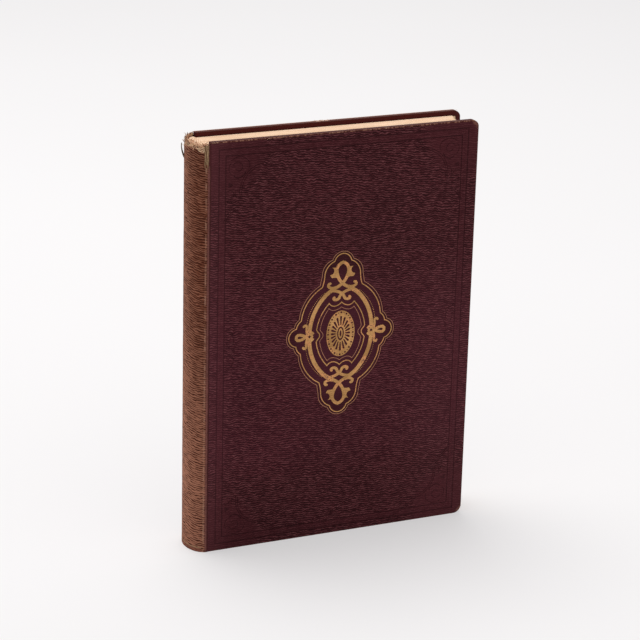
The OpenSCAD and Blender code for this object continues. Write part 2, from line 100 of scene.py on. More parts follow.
class BookClothSettings(bpy.types.PropertyGroup):
    """Covering cloth of the two covers"""

    colour: bpy.props.FloatVectorProperty(
        name="Cloth colour", description="Colour of the covering cloth", subtype="COLOR",
        size=4, min=0, max=1, default=(0.068, 0.0135, 0.0175, 1),
    )
    # Painted highlight: the colour painted on the tops of the cover cloth's grain
    ridge_colour: bpy.props.FloatVectorProperty(
        name="Grain colour", description="Colour of the rubbed tops of the grain",
        subtype="COLOR", size=4, min=0, max=1, default=(0.180, 0.060, 0.066, 1),
    )
    rubbed_colour: bpy.props.FloatVectorProperty(
        name="Rubbed colour", description="Colour of the cloth where its edges are rubbed",
        subtype="COLOR", size=4, min=0, max=1, default=(0.27, 0.12, 0.085, 1),
    )
    grain_pitch: bpy.props.FloatProperty(
        name="Grain pitch", description="Height of one ridge of the grain", unit="LENGTH",
        min=0.0002, max=0.003, default=0.00105,
    )
    grain_length: bpy.props.FloatProperty(
        name="Grain length", description="Length of one ridge of the grain", unit="LENGTH",
        min=0.0005, max=0.01, default=0.0034,
    )
    grain_depth: bpy.props.FloatProperty(
        name="Grain depth", description="Depth of the grain", unit="LENGTH",
        min=0, max=0.0005, default=0.0002,
    )
    edge_radius: bpy.props.FloatProperty(
        name="Edge radius", description="Rounding of the cloth over the board's edges",
        unit="LENGTH", min=0.0002, max=0.001, default=0.0005,
    )


class BookSpineSettings(bpy.types.PropertyGroup):
    """Faded cloth of the spine, and its torn head"""

    colour: bpy.props.FloatVectorProperty(
        name="Spine colour", description="Faded colour of the spine", subtype="COLOR",
        size=4, min=0, max=1, default=(0.150, 0.046, 0.024, 1),
    )
    # Colour of the bleached cloth, also painted as light on the back of the spine and as highlights
    # on the tops of the grain
    ridge_colour: bpy.props.FloatVectorProperty(
        name="Grain colour", description="Colour of the bleached tops of the grain",
        subtype="COLOR", size=4, min=0, max=1, default=(0.405, 0.176, 0.110, 1),
    )
    joint_colour: bpy.props.FloatVectorProperty(
        name="Joint colour", description="Colour of the cloth over the joints",
        subtype="COLOR", size=4, min=0, max=1, default=(0.160, 0.052, 0.045, 1),
    )
    thread_colour: bpy.props.FloatVectorProperty(
        name="Thread colour", description="Colour of bare threads", subtype="COLOR",
        size=4, min=0, max=1, default=(0.88, 0.62, 0.39, 1),
    )
    thread_count: bpy.props.IntProperty(
        name="Threads", description="Number of loose threads at the torn head",
        min=0, max=600, default=260,
    )


class BookPaperSettings(bpy.types.PropertyGroup):
    """Pages, endpapers and boards"""

    edge_colour: bpy.props.FloatVectorProperty(
        name="Page edge colour", description="Colour of the edges of the pages",
        subtype="COLOR", size=4, min=0, max=1, default=(0.86, 0.635, 0.465, 1),
    )
    endpaper_colour: bpy.props.FloatVectorProperty(
        name="Endpaper colour", description="Colour of the endpapers", subtype="COLOR",
        size=4, min=0, max=1, default=(0.74, 0.57, 0.37, 1),
    )
    board_colour: bpy.props.FloatVectorProperty(
        name="Board colour", description="Colour of the boards and the card strip",
        subtype="COLOR", size=4, min=0, max=1, default=(0.45, 0.33, 0.20, 1),
    )
    leaf_thickness: bpy.props.FloatProperty(
        name="Leaf thickness", description="Thickness of one leaf", unit="LENGTH",
        min=0.00005, max=0.0005, default=0.0001,
    )
    gathering_count: bpy.props.IntProperty(
        name="Gatherings", description="Number of sewn gatherings of leaves",
        min=4, max=40, default=19,
    )


class BookGoldSettings(bpy.types.PropertyGroup):
    """Gold of the centrepiece"""

    colour: bpy.props.FloatVectorProperty(
        name="Gold colour", description="Colour of the gold leaf", subtype="COLOR",
        size=4, min=0, max=1, default=(0.58, 0.315, 0.125, 1),
    )
    wear: bpy.props.FloatProperty(
        name="Wear", description="Share of the gold that is rubbed away",
        subtype="FACTOR", min=0, max=1, default=0.10,
    )


class BookStageSettings(bpy.types.PropertyGroup):
    """Floor, room and lamp"""

    floor_colour: bpy.props.FloatVectorProperty(
        name="Floor colour", description="Colour of the floor", subtype="COLOR",
        size=4, min=0, max=1, default=(0.88, 0.865, 0.865, 1),
    )
    floor_size: bpy.props.FloatProperty(
        name="Floor size", description="Width of the floor", unit="LENGTH",
        min=1, max=50, default=12,
    )
    lamp_power: bpy.props.FloatProperty(
        name="Lamp power", description="Power of the large overhead lamp in watts",
        min=0, max=500, default=13,
    )
    room_light: bpy.props.FloatProperty(
        name="Room light", description="Strength of the even light all round",
        min=0, max=2, default=0.64,
    )


# Node trees

def add(tree, kind, inputs=None, **settings):
    """A node whose inputs are set from values, or linked from other nodes' outputs."""
    made = tree.nodes.new(kind)
    for name, value in settings.items():
        setattr(made, name, value)
    for name, value in (inputs or {}).items():
        if isinstance(value, bpy.types.NodeSocket):
            tree.links.new(value, made.inputs[name])
        else:
            made.inputs[name].default_value = value
    return made


def maths(tree, operation, a, b=0.0, c=0.0, clamp=False):
    made = add(tree, "ShaderNodeMath", {0: a, 1: b, 2: c}, operation=operation, use_clamp=clamp)
    return made.outputs[0]


def plus(tree, a, b, clamp=False):
    return maths(tree, "ADD", a, b, clamp=clamp)


def minus(tree, a, b, clamp=False):
    return maths(tree, "SUBTRACT", a, b, clamp=clamp)


def times(tree, a, b):
    return maths(tree, "MULTIPLY", a, b)


def times_plus(tree, a, b, c):
    return maths(tree, "MULTIPLY_ADD", a, b, c)


def smaller(tree, a, b):
    return maths(tree, "MINIMUM", a, b)


def larger(tree, a, b):
    return maths(tree, "MAXIMUM", a, b)


def distance(tree, a, b):
    """Length of the diagonal over two distances at right angles."""
    return maths(tree, "SQRT", plus(tree, times(tree, a, a), times(tree, b, b)))


def smooth_step(tree, value, low, high, to_low=0.0, to_high=1.0):
    made = add(
        tree, "ShaderNodeMapRange",
        {"Value": value, "From Min": low, "From Max": high, "To Min": to_low, "To Max": to_high},
        interpolation_type="SMOOTHSTEP",
    )
    return made.outputs["Result"]


def blend_colours(tree, factor, a, b):
    """Colour a where the factor is 0, colour b where it is 1."""
    return add(tree, "ShaderNodeMix", {0: factor, 6: a, 7: b}, data_type="RGBA").outputs[2]


def stretched(tree, vector, scale):
    return add(tree, "ShaderNodeMapping", {"Vector": vector, "Scale": scale}).outputs["Vector"]


def cloudy(tree, vector, scale=1.0, detail=2.0, roughness=0.5):
    made = add(
        tree, "ShaderNodeTexNoise",
        {"Vector": vector, "Scale": scale, "Detail": detail, "Roughness": roughness},
    )
    return made.outputs["Fac"]


def split(tree, vector):
    return add(tree, "ShaderNodeSeparateXYZ", {"Vector": vector}).outputs


def new_group(name, inputs, outputs):
    """A shader node group with named sockets: its tree, and the sockets inside it."""
    tree = bpy.data.node_groups.new(name, "ShaderNodeTree")
    for label, kind, default in inputs:
        socket = tree.interface.new_socket(label, in_out="INPUT", socket_type=kind)
        socket.default_value = default
    for label, kind in outputs:
        tree.interface.new_socket(label, in_out="OUTPUT", socket_type=kind)
    taken = tree.nodes.new("NodeGroupInput").outputs
    given = tree.nodes.new("NodeGroupOutput").inputs
    return tree, taken, given


def use_group(tree, build, inputs):
    """The outputs of a shared effect, which is built the first time that it is used."""
    name = build.__name__
    group = bpy.data.node_groups.get(name) or build(name)
    return add(tree, "ShaderNodeGroup", inputs, node_tree=group).outputs


FLOAT, VECTOR = "NodeSocketFloat", "NodeSocketVector"


def cloth_grain(name):
    """Wavy level ridges pressed into book cloth, which run together and part again."""
    tree, taken, given = new_group(
        name,
        (("Vector", VECTOR, (0, 0, 0)), ("Pitch", FLOAT, 1.05 * MM), ("Length", FLOAT, 3.4 * MM),
         ("Slant X", FLOAT, 0.1), ("Slant Y", FLOAT, 0.0), ("Crushed", FLOAT, 0.0)),
        (("Height", FLOAT), ("Tops", FLOAT), ("Valleys", FLOAT)),
    )
    x, y, z = split(tree, taken["Vector"])
    slant = times_plus(tree, x, taken["Slant X"], z)
    slant = times_plus(tree, y, taken["Slant Y"], slant)
    across = maths(tree, "DIVIDE", x, taken["Length"])
    deep = maths(tree, "DIVIDE", y, taken["Length"])
    up = maths(tree, "DIVIDE", slant, taken["Pitch"])
    place = add(tree, "ShaderNodeCombineXYZ", {"X": across, "Y": deep, "Z": up}).outputs[0]
    sway = cloudy(tree, stretched(tree, place, (2.3, 2.3, 0.4)), 1.0, 1.0)
    drift = cloudy(tree, stretched(tree, place, (0.55, 0.55, 0.14)), 1.0, 1.0)
    turns = times_plus(tree, sway, 1.3, up)
    turns = times_plus(tree, drift, 2.2, turns)
    wave = maths(tree, "SINE", times(tree, turns, 2 * math.pi))
    breaks = cloudy(tree, stretched(tree, place, (1.7, 1.7, 1.3)), 1.0, 1.0)
    ridge = times_plus(tree, breaks, 0.75, 0.125)
    ridge = times_plus(tree, wave, 0.22, ridge)
    height = smooth_step(tree, ridge, 0.28, 0.72)
    kept = minus(tree, 1.0, taken["Crushed"], clamp=True)
    tree.links.new(times(tree, height, kept), given["Height"])
    # The Tops and Valleys masks are where the materials paint highlights on the grain and shade in
    # its valleys
    tops = smooth_step(tree, ridge, 0.54, 0.76)
    valleys = smooth_step(tree, ridge, 0.46, 0.26)
    tree.links.new(times(tree, tops, kept), given["Tops"])
    tree.links.new(times(tree, valleys, kept), given["Valleys"])
    return tree


def mottle(name):
    """Uneven colour: broad clouds and small flecks."""
    tree, taken, given = new_group(
        name,
        (("Vector", VECTOR, (0, 0, 0)), ("Broad", FLOAT, 30 * MM), ("Fine", FLOAT, 1.2 * MM)),
        (("Clouds", FLOAT), ("Flecks", FLOAT)),
    )
    broad = maths(tree, "DIVIDE", 1.0, taken["Broad"])
    fine = maths(tree, "DIVIDE", 1.0, taken["Fine"])
    clouds = cloudy(tree, taken["Vector"], broad, 3.0)
    flecks = cloudy(tree, taken["Vector"], fine, 3.0, 0.6)
    tree.links.new(smooth_step(tree, clouds, 0.3, 0.7), given["Clouds"])
    tree.links.new(smooth_step(tree, flecks, 0.35, 0.75), given["Flecks"])
    return tree


def rubbed_edges(name):
    """Wear near the head, the tail and the fore-edge of a cover, and most of all at its corners."""
    tree, taken, given = new_group(
        name,
        (("Vector", VECTOR, (0, 0, 0)), ("Fore", FLOAT, 0.067), ("Head", FLOAT, 0.19),
         ("Width", FLOAT, 1.2 * MM), ("Corner", FLOAT, 5 * MM)),
        (("Edge", FLOAT), ("Corners", FLOAT)),
    )
    x, _, z = split(tree, taken["Vector"])
    to_fore = minus(tree, taken["Fore"], x)
    to_head = minus(tree, taken["Head"], z)
    to_end = smaller(tree, to_head, z)
    nearest = smaller(tree, to_fore, to_end)
    rag = cloudy(tree, taken["Vector"], 1 / (1.5 * MM), 4.0, 0.7)
    share = maths(tree, "DIVIDE", nearest, taken["Width"])
    ragged = minus(tree, times(tree, rag, 1.9), share)
    tree.links.new(smooth_step(tree, ragged, 0.1, 0.75), given["Edge"])
    at_corner = maths(tree, "DIVIDE", distance(tree, to_fore, to_end), taken["Corner"])
    ragged = minus(tree, times(tree, rag, 2.2), at_corner)
    tree.links.new(smooth_step(tree, ragged, -0.05, 0.6), given["Corners"])
    return tree


def leaf_edges(name):
    """Fine lines of stacked leaves across Y."""
    tree, taken, given = new_group(
        name,
        (("Vector", VECTOR, (0, 0, 0)), ("Leaf", FLOAT, 0.1 * MM)),
        (("Height", FLOAT), ("Shade", FLOAT)),
    )
    _, y, _ = split(tree, taken["Vector"])
    per_leaf = maths(tree, "DIVIDE", y, taken["Leaf"])
    ax, _, az = split(tree, stretched(tree, taken["Vector"], (90, 0, 90)))
    place = add(tree, "ShaderNodeCombineXYZ", {"X": ax, "Y": per_leaf, "Z": az}).outputs[0]
    leaves = cloudy(tree, place, 0.9, 1.0)
    thick = cloudy(tree, stretched(tree, place, (0.6, 0.23, 0.6)), 1.0, 2.0)
    tree.links.new(leaves, given["Height"])
    tree.links.new(times_plus(tree, leaves, 0.45, times(tree, thick, 0.65)), given["Shade"])
    return tree


# Materials

CLOTH_SHINE = 0.05
PAPER_SHINE = 0.2


def new_material(name, roughness, shine=0.5):
    """A material with one Principled shader: the material, its tree, the shader and the place."""
    made = bpy.data.materials.new(name)
    made.use_nodes = True
    tree = made.node_tree
    shader = tree.nodes["Principled BSDF"]
    shader.inputs["Roughness"].default_value = roughness
    shader.inputs["Specular IOR Level"].default_value = shine
    return made, tree, shader, tree.nodes.new("ShaderNodeTexCoord").outputs["Object"]


def shade(colour, *parts):
    """The colour times one number, or times one each for red, green and blue."""
    parts = parts if len(parts) == 3 else parts * 3
    return [min(1, held * part) for held, part in zip(colour, parts)] + [1]


def dress(tree, shader, colour, height, depth):
    """Give the shader its colour, and a relief of that height and depth."""
    relief = add(tree, "ShaderNodeBump", {"Height": height, "Distance": depth, "Strength": 1.0})
    tree.links.new(colour, shader.inputs["Base Color"])
    tree.links.new(relief.outputs["Normal"], shader.inputs["Normal"])


def painted(tree, name):
    """The values of that name on the mesh."""
    return add(tree, "ShaderNodeAttribute", attribute_name=name).outputs["Fac"]


def crushed_by_tools(tree, x, z, tooled):
    """How far the blind tooling has crushed the grain: its lines, its band and its corners."""
    corner_piece, past_it = 17 * MM, 24 * MM
    from_side = smaller(tree, minus(tree, x, JOINT_X + FRAME_JOINT),
                        minus(tree, FORE_X - FRAME_FORE, x))
    from_end = smaller(tree, minus(tree, z, FRAME_END), minus(tree, COVER_H - FRAME_END, z))
    depth = smaller(tree, from_side, from_end)
    begins = smooth_step(tree, depth, -0.3 * MM, 0.1 * MM)
    ends = smooth_step(tree, depth, FRAME_BAND, FRAME_BAND + 0.3 * MM, 1.0, 0.0)
    band = times(tree, times(tree, begins, ends), 0.5)
    from_corner = distance(tree, from_side, from_end)
    corners = smooth_step(tree, from_corner, corner_piece, past_it, 0.68, 0.0)
    return larger(tree, larger(tree, band, corners), times(tree, tooled, 0.8))


def pressed_by_gilding(tree, x, z):
    """How far the stamp of the centrepiece has flattened the cloth round it."""
    centre = (GILT_LOW + GILT_HIGH) / 2
    half = (GILT_HIGH - GILT_LOW) / 2
    ux = maths(tree, "DIVIDE", minus(tree, x, centre.x), half.x)
    uz = maths(tree, "DIVIDE", minus(tree, z, centre.z), half.z)
    reach = plus(tree, times(tree, ux, ux), times(tree, uz, uz))
    return smooth_step(tree, reach, 0.45, 0.75, 0.42, 0.0)


def lightened_by_hands(tree, x, z, colour):
    """The colour lightened below the middle, on the fore side and on the joint side."""
    middle = smooth_step(tree, z, 145 * MM, 90 * MM)
    above_tail = smooth_step(tree, z, 26 * MM, 48 * MM)
    lower_middle = times(tree, times(tree, middle, above_tail), 0.03)
    colour = blend_colours(tree, lower_middle, colour, (0.35, 0.06, 0.14, 1))
    fore_side = times(tree, smooth_step(tree, x, 25 * MM, 55 * MM, 0.0, 0.042),
                      times_plus(tree, middle, 0.85, 0.15))
    joint_side = smooth_step(tree, x, JOINT_X + 14 * MM, JOINT_X, 0.0, 0.065)
    return blend_colours(tree, plus(tree, fore_side, joint_side), colour, (0.36, 0.12, 0.14, 1))


def cover_cloth_material(name, settings, front):
    """Cloth of a cover: the front one is pressed by the gilding, the back one has the nick."""
    made, tree, shader, place = new_material(name, 0.55, CLOTH_SHINE)
    x, y, z = split(tree, place)
    tooled = painted(tree, "tooled")
    crushed = crushed_by_tools(tree, x, z, tooled)
    flattened = 0.0
    if front:
        flattened = pressed_by_gilding(tree, x, z)
        crushed = larger(tree, crushed, flattened)
    deep = minus(tree, HALF_T, maths(tree, "ABSOLUTE", y))
    on_end = smooth_step(tree, z, COVER_H - 0.5 * MM, COVER_H - 0.2 * MM)
    turned_in = larger(tree, smooth_step(tree, deep, 0.6 * MM, 1.2 * MM), on_end)
    crushed = larger(tree, crushed, times(tree, turned_in, 0.85))
    grain = use_group(tree, cloth_grain, {
        "Vector": place, "Pitch": settings.grain_pitch, "Length": settings.grain_length,
        "Slant X": 0.10, "Crushed": crushed,
    })
    uneven = use_group(tree, mottle, {"Vector": place, "Broad": 34 * MM, "Fine": 0.8 * MM})
    worn = use_group(tree, rubbed_edges, {
        "Vector": place, "Fore": FORE_X, "Head": COVER_H, "Width": 0.8 * MM, "Corner": 3.2 * MM,
    })
    # The ground with painted shade in its valleys and tooled lines, and painted highlights on the
    # tops of the grain
    valley_shade = shade(settings.colour, 0.34)
    ground = blend_colours(tree, uneven["Clouds"], shade(settings.colour, 0.80), settings.colour)
    # Painted shade: the valleys of the grain and the tooled grooves are darkened
    ground = blend_colours(tree, grain["Valleys"], ground, valley_shade)
    ground = blend_colours(tree, times(tree, tooled, 0.6), ground, valley_shade)
    ground = blend_colours(tree, flattened, ground, shade(settings.colour, 1.15, 1.2, 1.5))
    # Painted highlight: the tops of the grain get a lighter colour
    tops = times(tree, grain["Tops"], times_plus(tree, uneven["Flecks"], 0.7, 0.3))
    colour = blend_colours(tree, tops, ground, settings.ridge_colour)
    colour = lightened_by_hands(tree, x, z, colour)
    # The cloth turned in over the edges, and the head end of the cover darkened as painted shade
    inner = shade(settings.colour, 1.05, 0.9, 0.6)
    colour = blend_colours(tree, times(tree, turned_in, 0.9), colour, inner)
    # Painted shade: the top faces of the cover are darkened
    colour = blend_colours(tree, times(tree, on_end, 0.6), colour, (0.05, 0.008, 0.003, 1))
    rubbed = larger(tree, times(tree, worn["Edge"], 0.18), times(tree, worn["Corners"], 0.6))
    rubbed = times(tree, rubbed, smooth_step(tree, turned_in, 0.0, 1.0, 1.0, 0.15))
    colour = blend_colours(tree, rubbed, colour, settings.rubbed_colour)
    # Bare threads along the outer arris of the head, wider on the back cover
    rag = cloudy(tree, stretched(tree, place, (1, 1, 0.3)), 1 / (0.8 * MM), 3.0, 0.6)
    width, least, most = (0.35 * MM, 0.0, 0.6) if front else (1.3 * MM, 0.45, 0.9)
    arris = times(tree, on_end, smooth_step(tree, deep, width, 0.15 * width))
    bare = times(tree, arris, smooth_step(tree, rag, 0.46, 0.60, least, most))
    colour = blend_colours(tree, bare, colour, (0.50, 0.25, 0.16, 1))
    if not front:
        nick = smooth_step(tree, maths(tree, "ABSOLUTE", x), 4.0 * MM, 2.2 * MM)
        nick = times(tree, nick, smooth_step(tree, deep, 2.2 * MM, 0.9 * MM))
        nick = times(tree, times(tree, nick, on_end), 0.8)
        colour = blend_colours(tree, nick, colour, (0.66, 0.43, 0.33, 1))
    roughness = times_plus(tree, crushed, -0.08, 0.58)
    tree.links.new(times_plus(tree, rubbed, 0.3, roughness), shader.inputs["Roughness"])
    dress(tree, shader, colour, grain["Height"], settings.grain_depth)
    return made


def faded_ground(tree, place, settings, cloth):
    """Colour of the faded cloth and its grain: painted light makes it lighter towards the back of
    the spine, painted shade darkens the grain's valleys and painted highlights lighten its tops.
    """
    _, y, z = split(tree, place)
    grain = use_group(tree, cloth_grain, {
        "Vector": place, "Pitch": cloth.grain_pitch, "Length": cloth.grain_length * 1.5,
        "Slant X": 0.0, "Slant Y": -0.22, "Crushed": 0.0,
    })
    uneven = use_group(tree, mottle, {"Vector": place, "Broad": 20 * MM, "Fine": 0.8 * MM})
    dark = shade(settings.colour, 0.82)
    valley_shade = shade(settings.colour, 0.30, 0.20, 0.18)
    ground = blend_colours(tree, uneven["Clouds"], dark, settings.colour)
    bleached = smooth_step(tree, z, 0.13, 0.03, 0.0, 0.62)
    # Painted light: the cloth is painted lighter towards the back of the spine, the side towards
    # the lamp
    lit_back_side = smooth_step(tree, y, -9 * MM, 3 * MM, 0.0, 0.66)
    bleached_and_lit = plus(tree, bleached, lit_back_side, clamp=True)
    ground = blend_colours(tree, bleached_and_lit, ground, settings.ridge_colour)
    # Painted shade: the valleys of the grain are darkened
    ground = blend_colours(tree, grain["Valleys"], ground, valley_shade)
    # Painted highlight: the tops of the grain are painted lighter, most where the cloth is bleached
    # or painted as lit
    tops = times(tree, grain["Tops"], times_plus(tree, uneven["Flecks"], 0.5, 0.5))
    tops = maths(tree, "MULTIPLY", tops, times_plus(tree, bleached_and_lit, 0.45, 0.68), clamp=True)
    return blend_colours(tree, tops, ground, settings.ridge_colour), grain


def spine_cloth_material(name, settings, cloth):
    """Faded cloth of the spine: a pale rubbed line at its tail, bare threads at its tear."""
    made, tree, shader, place = new_material(name, 0.72, CLOTH_SHINE)
    _, _, z = split(tree, place)
    colour, grain = faded_ground(tree, place, settings, cloth)
    wobble = times(tree, cloudy(tree, place, 300, 3.0), 0.8 * MM)
    line = minus(tree, z, plus(tree, wobble, 1.7 * MM))
    pale = smooth_step(tree, maths(tree, "ABSOLUTE", line), 0.15 * MM, 0.5 * MM, 0.75, 0.0)
    below = smooth_step(tree, z, 1.4 * MM, 2.4 * MM, 0.5, 0.0)
    colour = blend_colours(tree, below, colour, (0.17, 0.05, 0.035, 1))
    colour = blend_colours(tree, pale, colour, (0.36, 0.22, 0.13, 1))
    torn = painted(tree, "torn")
    rag = cloudy(tree, place, 1 / (0.5 * MM), 3.0, 0.6)
    bare = smooth_step(tree, plus(tree, torn, minus(tree, rag, 0.5)), 0.5, 0.9)
    colour = blend_colours(tree, bare, colour, (0.52, 0.31, 0.19, 1))
    dress(tree, shader, colour, grain["Height"], cloth.grain_depth)
    return made


def close_to(tree, value, level, steepness):
    """1 where the value is at the level, falling to 0 on both sides of it."""
    off = maths(tree, "ABSOLUTE", minus(tree, value, level))
    return minus(tree, 1.0, times(tree, off, steepness), clamp=True)


def joint_cloth_material(name, settings, cloth):
    """Cloth over a joint: "across" runs from 0 at the crease to 1 at the edge of the cover."""
    made, tree, shader, place = new_material(name, 0.75, CLOTH_SHINE)
    _, _, z = split(tree, place)
    across = painted(tree, "across")
    faded, grain = faded_ground(tree, place, settings, cloth)
    uneven = use_group(tree, mottle, {"Vector": place, "Broad": 9 * MM, "Fine": 0.6 * MM})
    rag = cloudy(tree, stretched(tree, place, (1, 1, 0.4)), 1 / (0.9 * MM), 4.0, 0.65)
    dark = shade(settings.joint_colour, 0.62)
    smooth = blend_colours(tree, uneven["Clouds"], dark, settings.joint_colour)
    # Painted shade: the valleys of the grain are darkened
    smooth = blend_colours(tree, times(tree, grain["Valleys"], 0.5), smooth, dark)
    begins = smooth_step(tree, times_plus(tree, rag, 0.5, across), 0.6, 0.95)
    colour = blend_colours(tree, begins, faded, smooth)
    # Painted highlights: light tips near the crease
    tip_highlights = smooth_step(tree, rag, 0.40, 0.60, 0.0, 0.75)
    tip_highlights = times(tree, close_to(tree, across, 0.3, 5.0), tip_highlights)
    colour = blend_colours(tree, tip_highlights, colour, (0.40, 0.215, 0.15, 1))
    # Painted highlight along the crest of the ridge
    crest_highlight = smooth_step(tree, rag, 0.3, 0.6, 0.15, 0.6)
    crest_highlight = times(tree, close_to(tree, across, 0.72, 6.0), crest_highlight)
    colour = blend_colours(tree, crest_highlight, colour, (0.29, 0.125, 0.105, 1))
    # Painted shade: a dark line in the groove at the edge of the cover
    edge = smooth_step(tree, across, 0.88, 0.97, 0.0, 0.85)
    colour = blend_colours(tree, edge, colour, (0.055, 0.013, 0.015, 1))
    # The rubbed-through stretch under the head shows the brown weave beside a dark red edge, which
    # is painted shade in the groove at the edge of the cover
    ragged = times_plus(tree, rag, 9 * MM, z)
    through = smooth_step(tree, ragged, COVER_H - 7 * MM, COVER_H - 5 * MM)
    weave_side = smooth_step(tree, times_plus(tree, rag, 0.3, across), 0.75, 0.9, 1.0, 0.0)
    fibres = cloudy(tree, stretched(tree, place, (1.6, 1.6, 0.1)), 1 / (0.35 * MM), 2.0)
    fibres = smooth_step(tree, fibres, 0.38, 0.62)
    weave = blend_colours(tree, fibres, (0.11, 0.055, 0.025, 1), (0.40, 0.26, 0.15, 1))
    weave = blend_colours(tree, weave_side, (0.075, 0.018, 0.02, 1), weave)
    colour = blend_colours(tree, through, colour, weave)
    dress(tree, shader, colour, grain["Height"], cloth.grain_depth)
    return made


def page_edge_material(name, settings):
    """Edges of the stacked leaves, browned in streaks."""
    made, tree, shader, place = new_material(name, 0.85, PAPER_SHINE)
    leaves = use_group(tree, leaf_edges, {"Vector": place, "Leaf": settings.leaf_thickness * 1.6})
    uneven = use_group(tree, mottle, {"Vector": place, "Broad": 16 * MM, "Fine": 1.5 * MM})
    aged = shade(settings.edge_colour, 0.86, 0.72, 0.56)
    pale = shade(settings.edge_colour, 1.12)
    colour = blend_colours(tree, uneven["Clouds"], settings.edge_colour, pale)
    lines = smooth_step(tree, leaves["Shade"], 0.38, 0.72, 0.75, 0.0)
    colour = blend_colours(tree, lines, colour, aged)
    colour = blend_colours(tree, times(tree, uneven["Flecks"], 0.22), colour, aged)
    dress(tree, shader, colour, leaves["Height"], 0.05 * MM)
    return made


def paper_material(name, colour, depth=0.015 * MM):
    """Toned paper with a few brown spots."""
    made, tree, shader, place = new_material(name, 0.85, PAPER_SHINE)
    uneven = use_group(tree, mottle, {"Vector": place, "Broad": 28 * MM, "Fine": 0.35 * MM})
    spots = smooth_step(tree, cloudy(tree, place, 170, 4.0, 0.65), 0.62, 0.75)
    pale = shade(colour, 1.08)
    tan = shade(colour, 0.80, 0.68, 0.50)
    tone = blend_colours(tree, uneven["Clouds"], colour, pale)
    tone = blend_colours(tree, times(tree, spots, 0.35), tone, tan)
    dress(tree, shader, tone, uneven["Flecks"], depth)
    return made


def board_material(name, colour):
    """Layered grey-brown millboard."""
    made, tree, shader, place = new_material(name, 0.92)
    uneven = use_group(tree, mottle, {"Vector": place, "Broad": 12 * MM, "Fine": 0.5 * MM})
    layers = cloudy(tree, stretched(tree, place, (140, 2600, 140)), 1.0, 2.0)
    dark = shade(colour, 0.7)
    tone = blend_colours(tree, uneven["Flecks"], dark, colour)
    tone = blend_colours(tree, smooth_step(tree, layers, 0.45, 0.6, 0.0, 0.5), tone, dark)
    dress(tree, shader, tone, uneven["Flecks"], 0.06 * MM)
    return made


def woven_material(name, colour, pitch):
    """Open gauze or cord: crossing threads."""
    made, tree, shader, place = new_material(name, 0.9)
    x, y, z = split(tree, place)
    turn = 2 * math.pi / pitch
    across = maths(tree, "SINE", times(tree, plus(tree, x, y), turn))
    up = maths(tree, "SINE", times(tree, z, turn))
    weave = times_plus(tree, larger(tree, across, up), 0.5, 0.5)
    dark = shade(colour, 0.55)
    tone = blend_colours(tree, smooth_step(tree, weave, 0.55, 0.95), dark, colour)
    dress(tree, shader, tone, weave, 0.08 * MM)
    return made


def gold_material(name, settings, cloth):
    """Worn gold leaf, duller in flecks and on its thin lines, with the cloth's grain under it."""
    made, tree, shader, place = new_material(name, 0.42)
    grain = use_group(tree, cloth_grain, {
        "Vector": place, "Pitch": cloth.grain_pitch, "Length": cloth.grain_length,
        "Slant X": 0.1, "Crushed": 0.6,
    })
    uneven = use_group(tree, mottle, {"Vector": place, "Broad": 8 * MM, "Fine": 0.5 * MM})
    flakes = cloudy(tree, place, 1 / (0.5 * MM), 3.0, 0.65)
    patches = cloudy(tree, place, 1 / (5 * MM), 2.0)
    loss = times_plus(tree, patches, 0.5, flakes)
    edge = 1.06 - settings.wear
    gone = smooth_step(tree, loss, edge - 0.08, edge)
    dull = shade(settings.colour, 0.62, 0.60, 0.55)
    tone = blend_colours(tree, uneven["Clouds"], dull, settings.colour)
    redder = shade(settings.colour, 1.15, 0.95, 1.0)
    tone = blend_colours(tree, smooth_step(tree, patches, 0.5, 0.62, 0.0, 0.7), tone, redder)
    tone = blend_colours(tree, times(tree, uneven["Flecks"], 0.6), tone, dull)
    thin = painted(tree, "thin")
    tone = blend_colours(tree, times(tree, thin, 0.6), tone, (0.34, 0.145, 0.12, 1))
    tone = blend_colours(tree, gone, tone, (0.08, 0.028, 0.025, 1))
    tree.links.new(minus(tree, 1.0, gone, clamp=True), shader.inputs["Metallic"])
    roughness = times_plus(tree, uneven["Flecks"], 0.18, 0.36)
    tree.links.new(roughness, shader.inputs["Roughness"])
    dress(tree, shader, tone, grain["Height"], cloth.grain_depth)
    return made


def fibre_material(name, colour, tint):
    """Bare fibres in two colours, darker in flecks."""
    made, tree, shader, place = new_material(name, 0.9)
    uneven = use_group(tree, mottle, {"Vector": place, "Broad": 2.2 * MM, "Fine": 0.4 * MM})
    tone = blend_colours(tree, uneven["Clouds"], colour, tint)
    dark = shade(colour, 0.45)
    tone = blend_colours(tree, times(tree, uneven["Flecks"], 0.6), tone, dark)
    dress(tree, shader, tone, uneven["Flecks"], 0.08 * MM)
    return made


# Meshes

def new_object(name, data):
    made = bpy.data.objects.new(name, data)
    bpy.context.scene.collection.objects.link(made)
    return made


def new_piece(name, verts, faces, material, body=None):
    """A smooth mesh piece, which rides a body where one is given."""
    mesh = bpy.data.meshes.new(name)
    mesh.from_pydata([tuple(v) for v in verts], [], faces)
    mesh.validate()
    mesh.polygons.foreach_set("use_smooth", [True] * len(mesh.polygons))
    mesh.materials.append(material)
    made = new_object(name, mesh)
    if body:
        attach(made, body)
    return made


def sharpen(mesh, degrees):
    """Smooth shading that breaks at sharp edges."""
    held = bmesh.new()
    held.from_mesh(mesh)
    limit = math.radians(degrees)
    for edge in held.edges:
        edge.smooth = len(edge.link_faces) == 2 and edge.calc_face_angle(0) < limit
    held.to_mesh(mesh)
    held.free()
    mesh.polygons.foreach_set("use_smooth", [True] * len(mesh.polygons))


def set_values(mesh, name, values):
    """Numbers on the mesh's vertices for a material."""
    made = mesh.attributes.new(name, "FLOAT", "POINT")
    made.data.foreach_set("value", values)


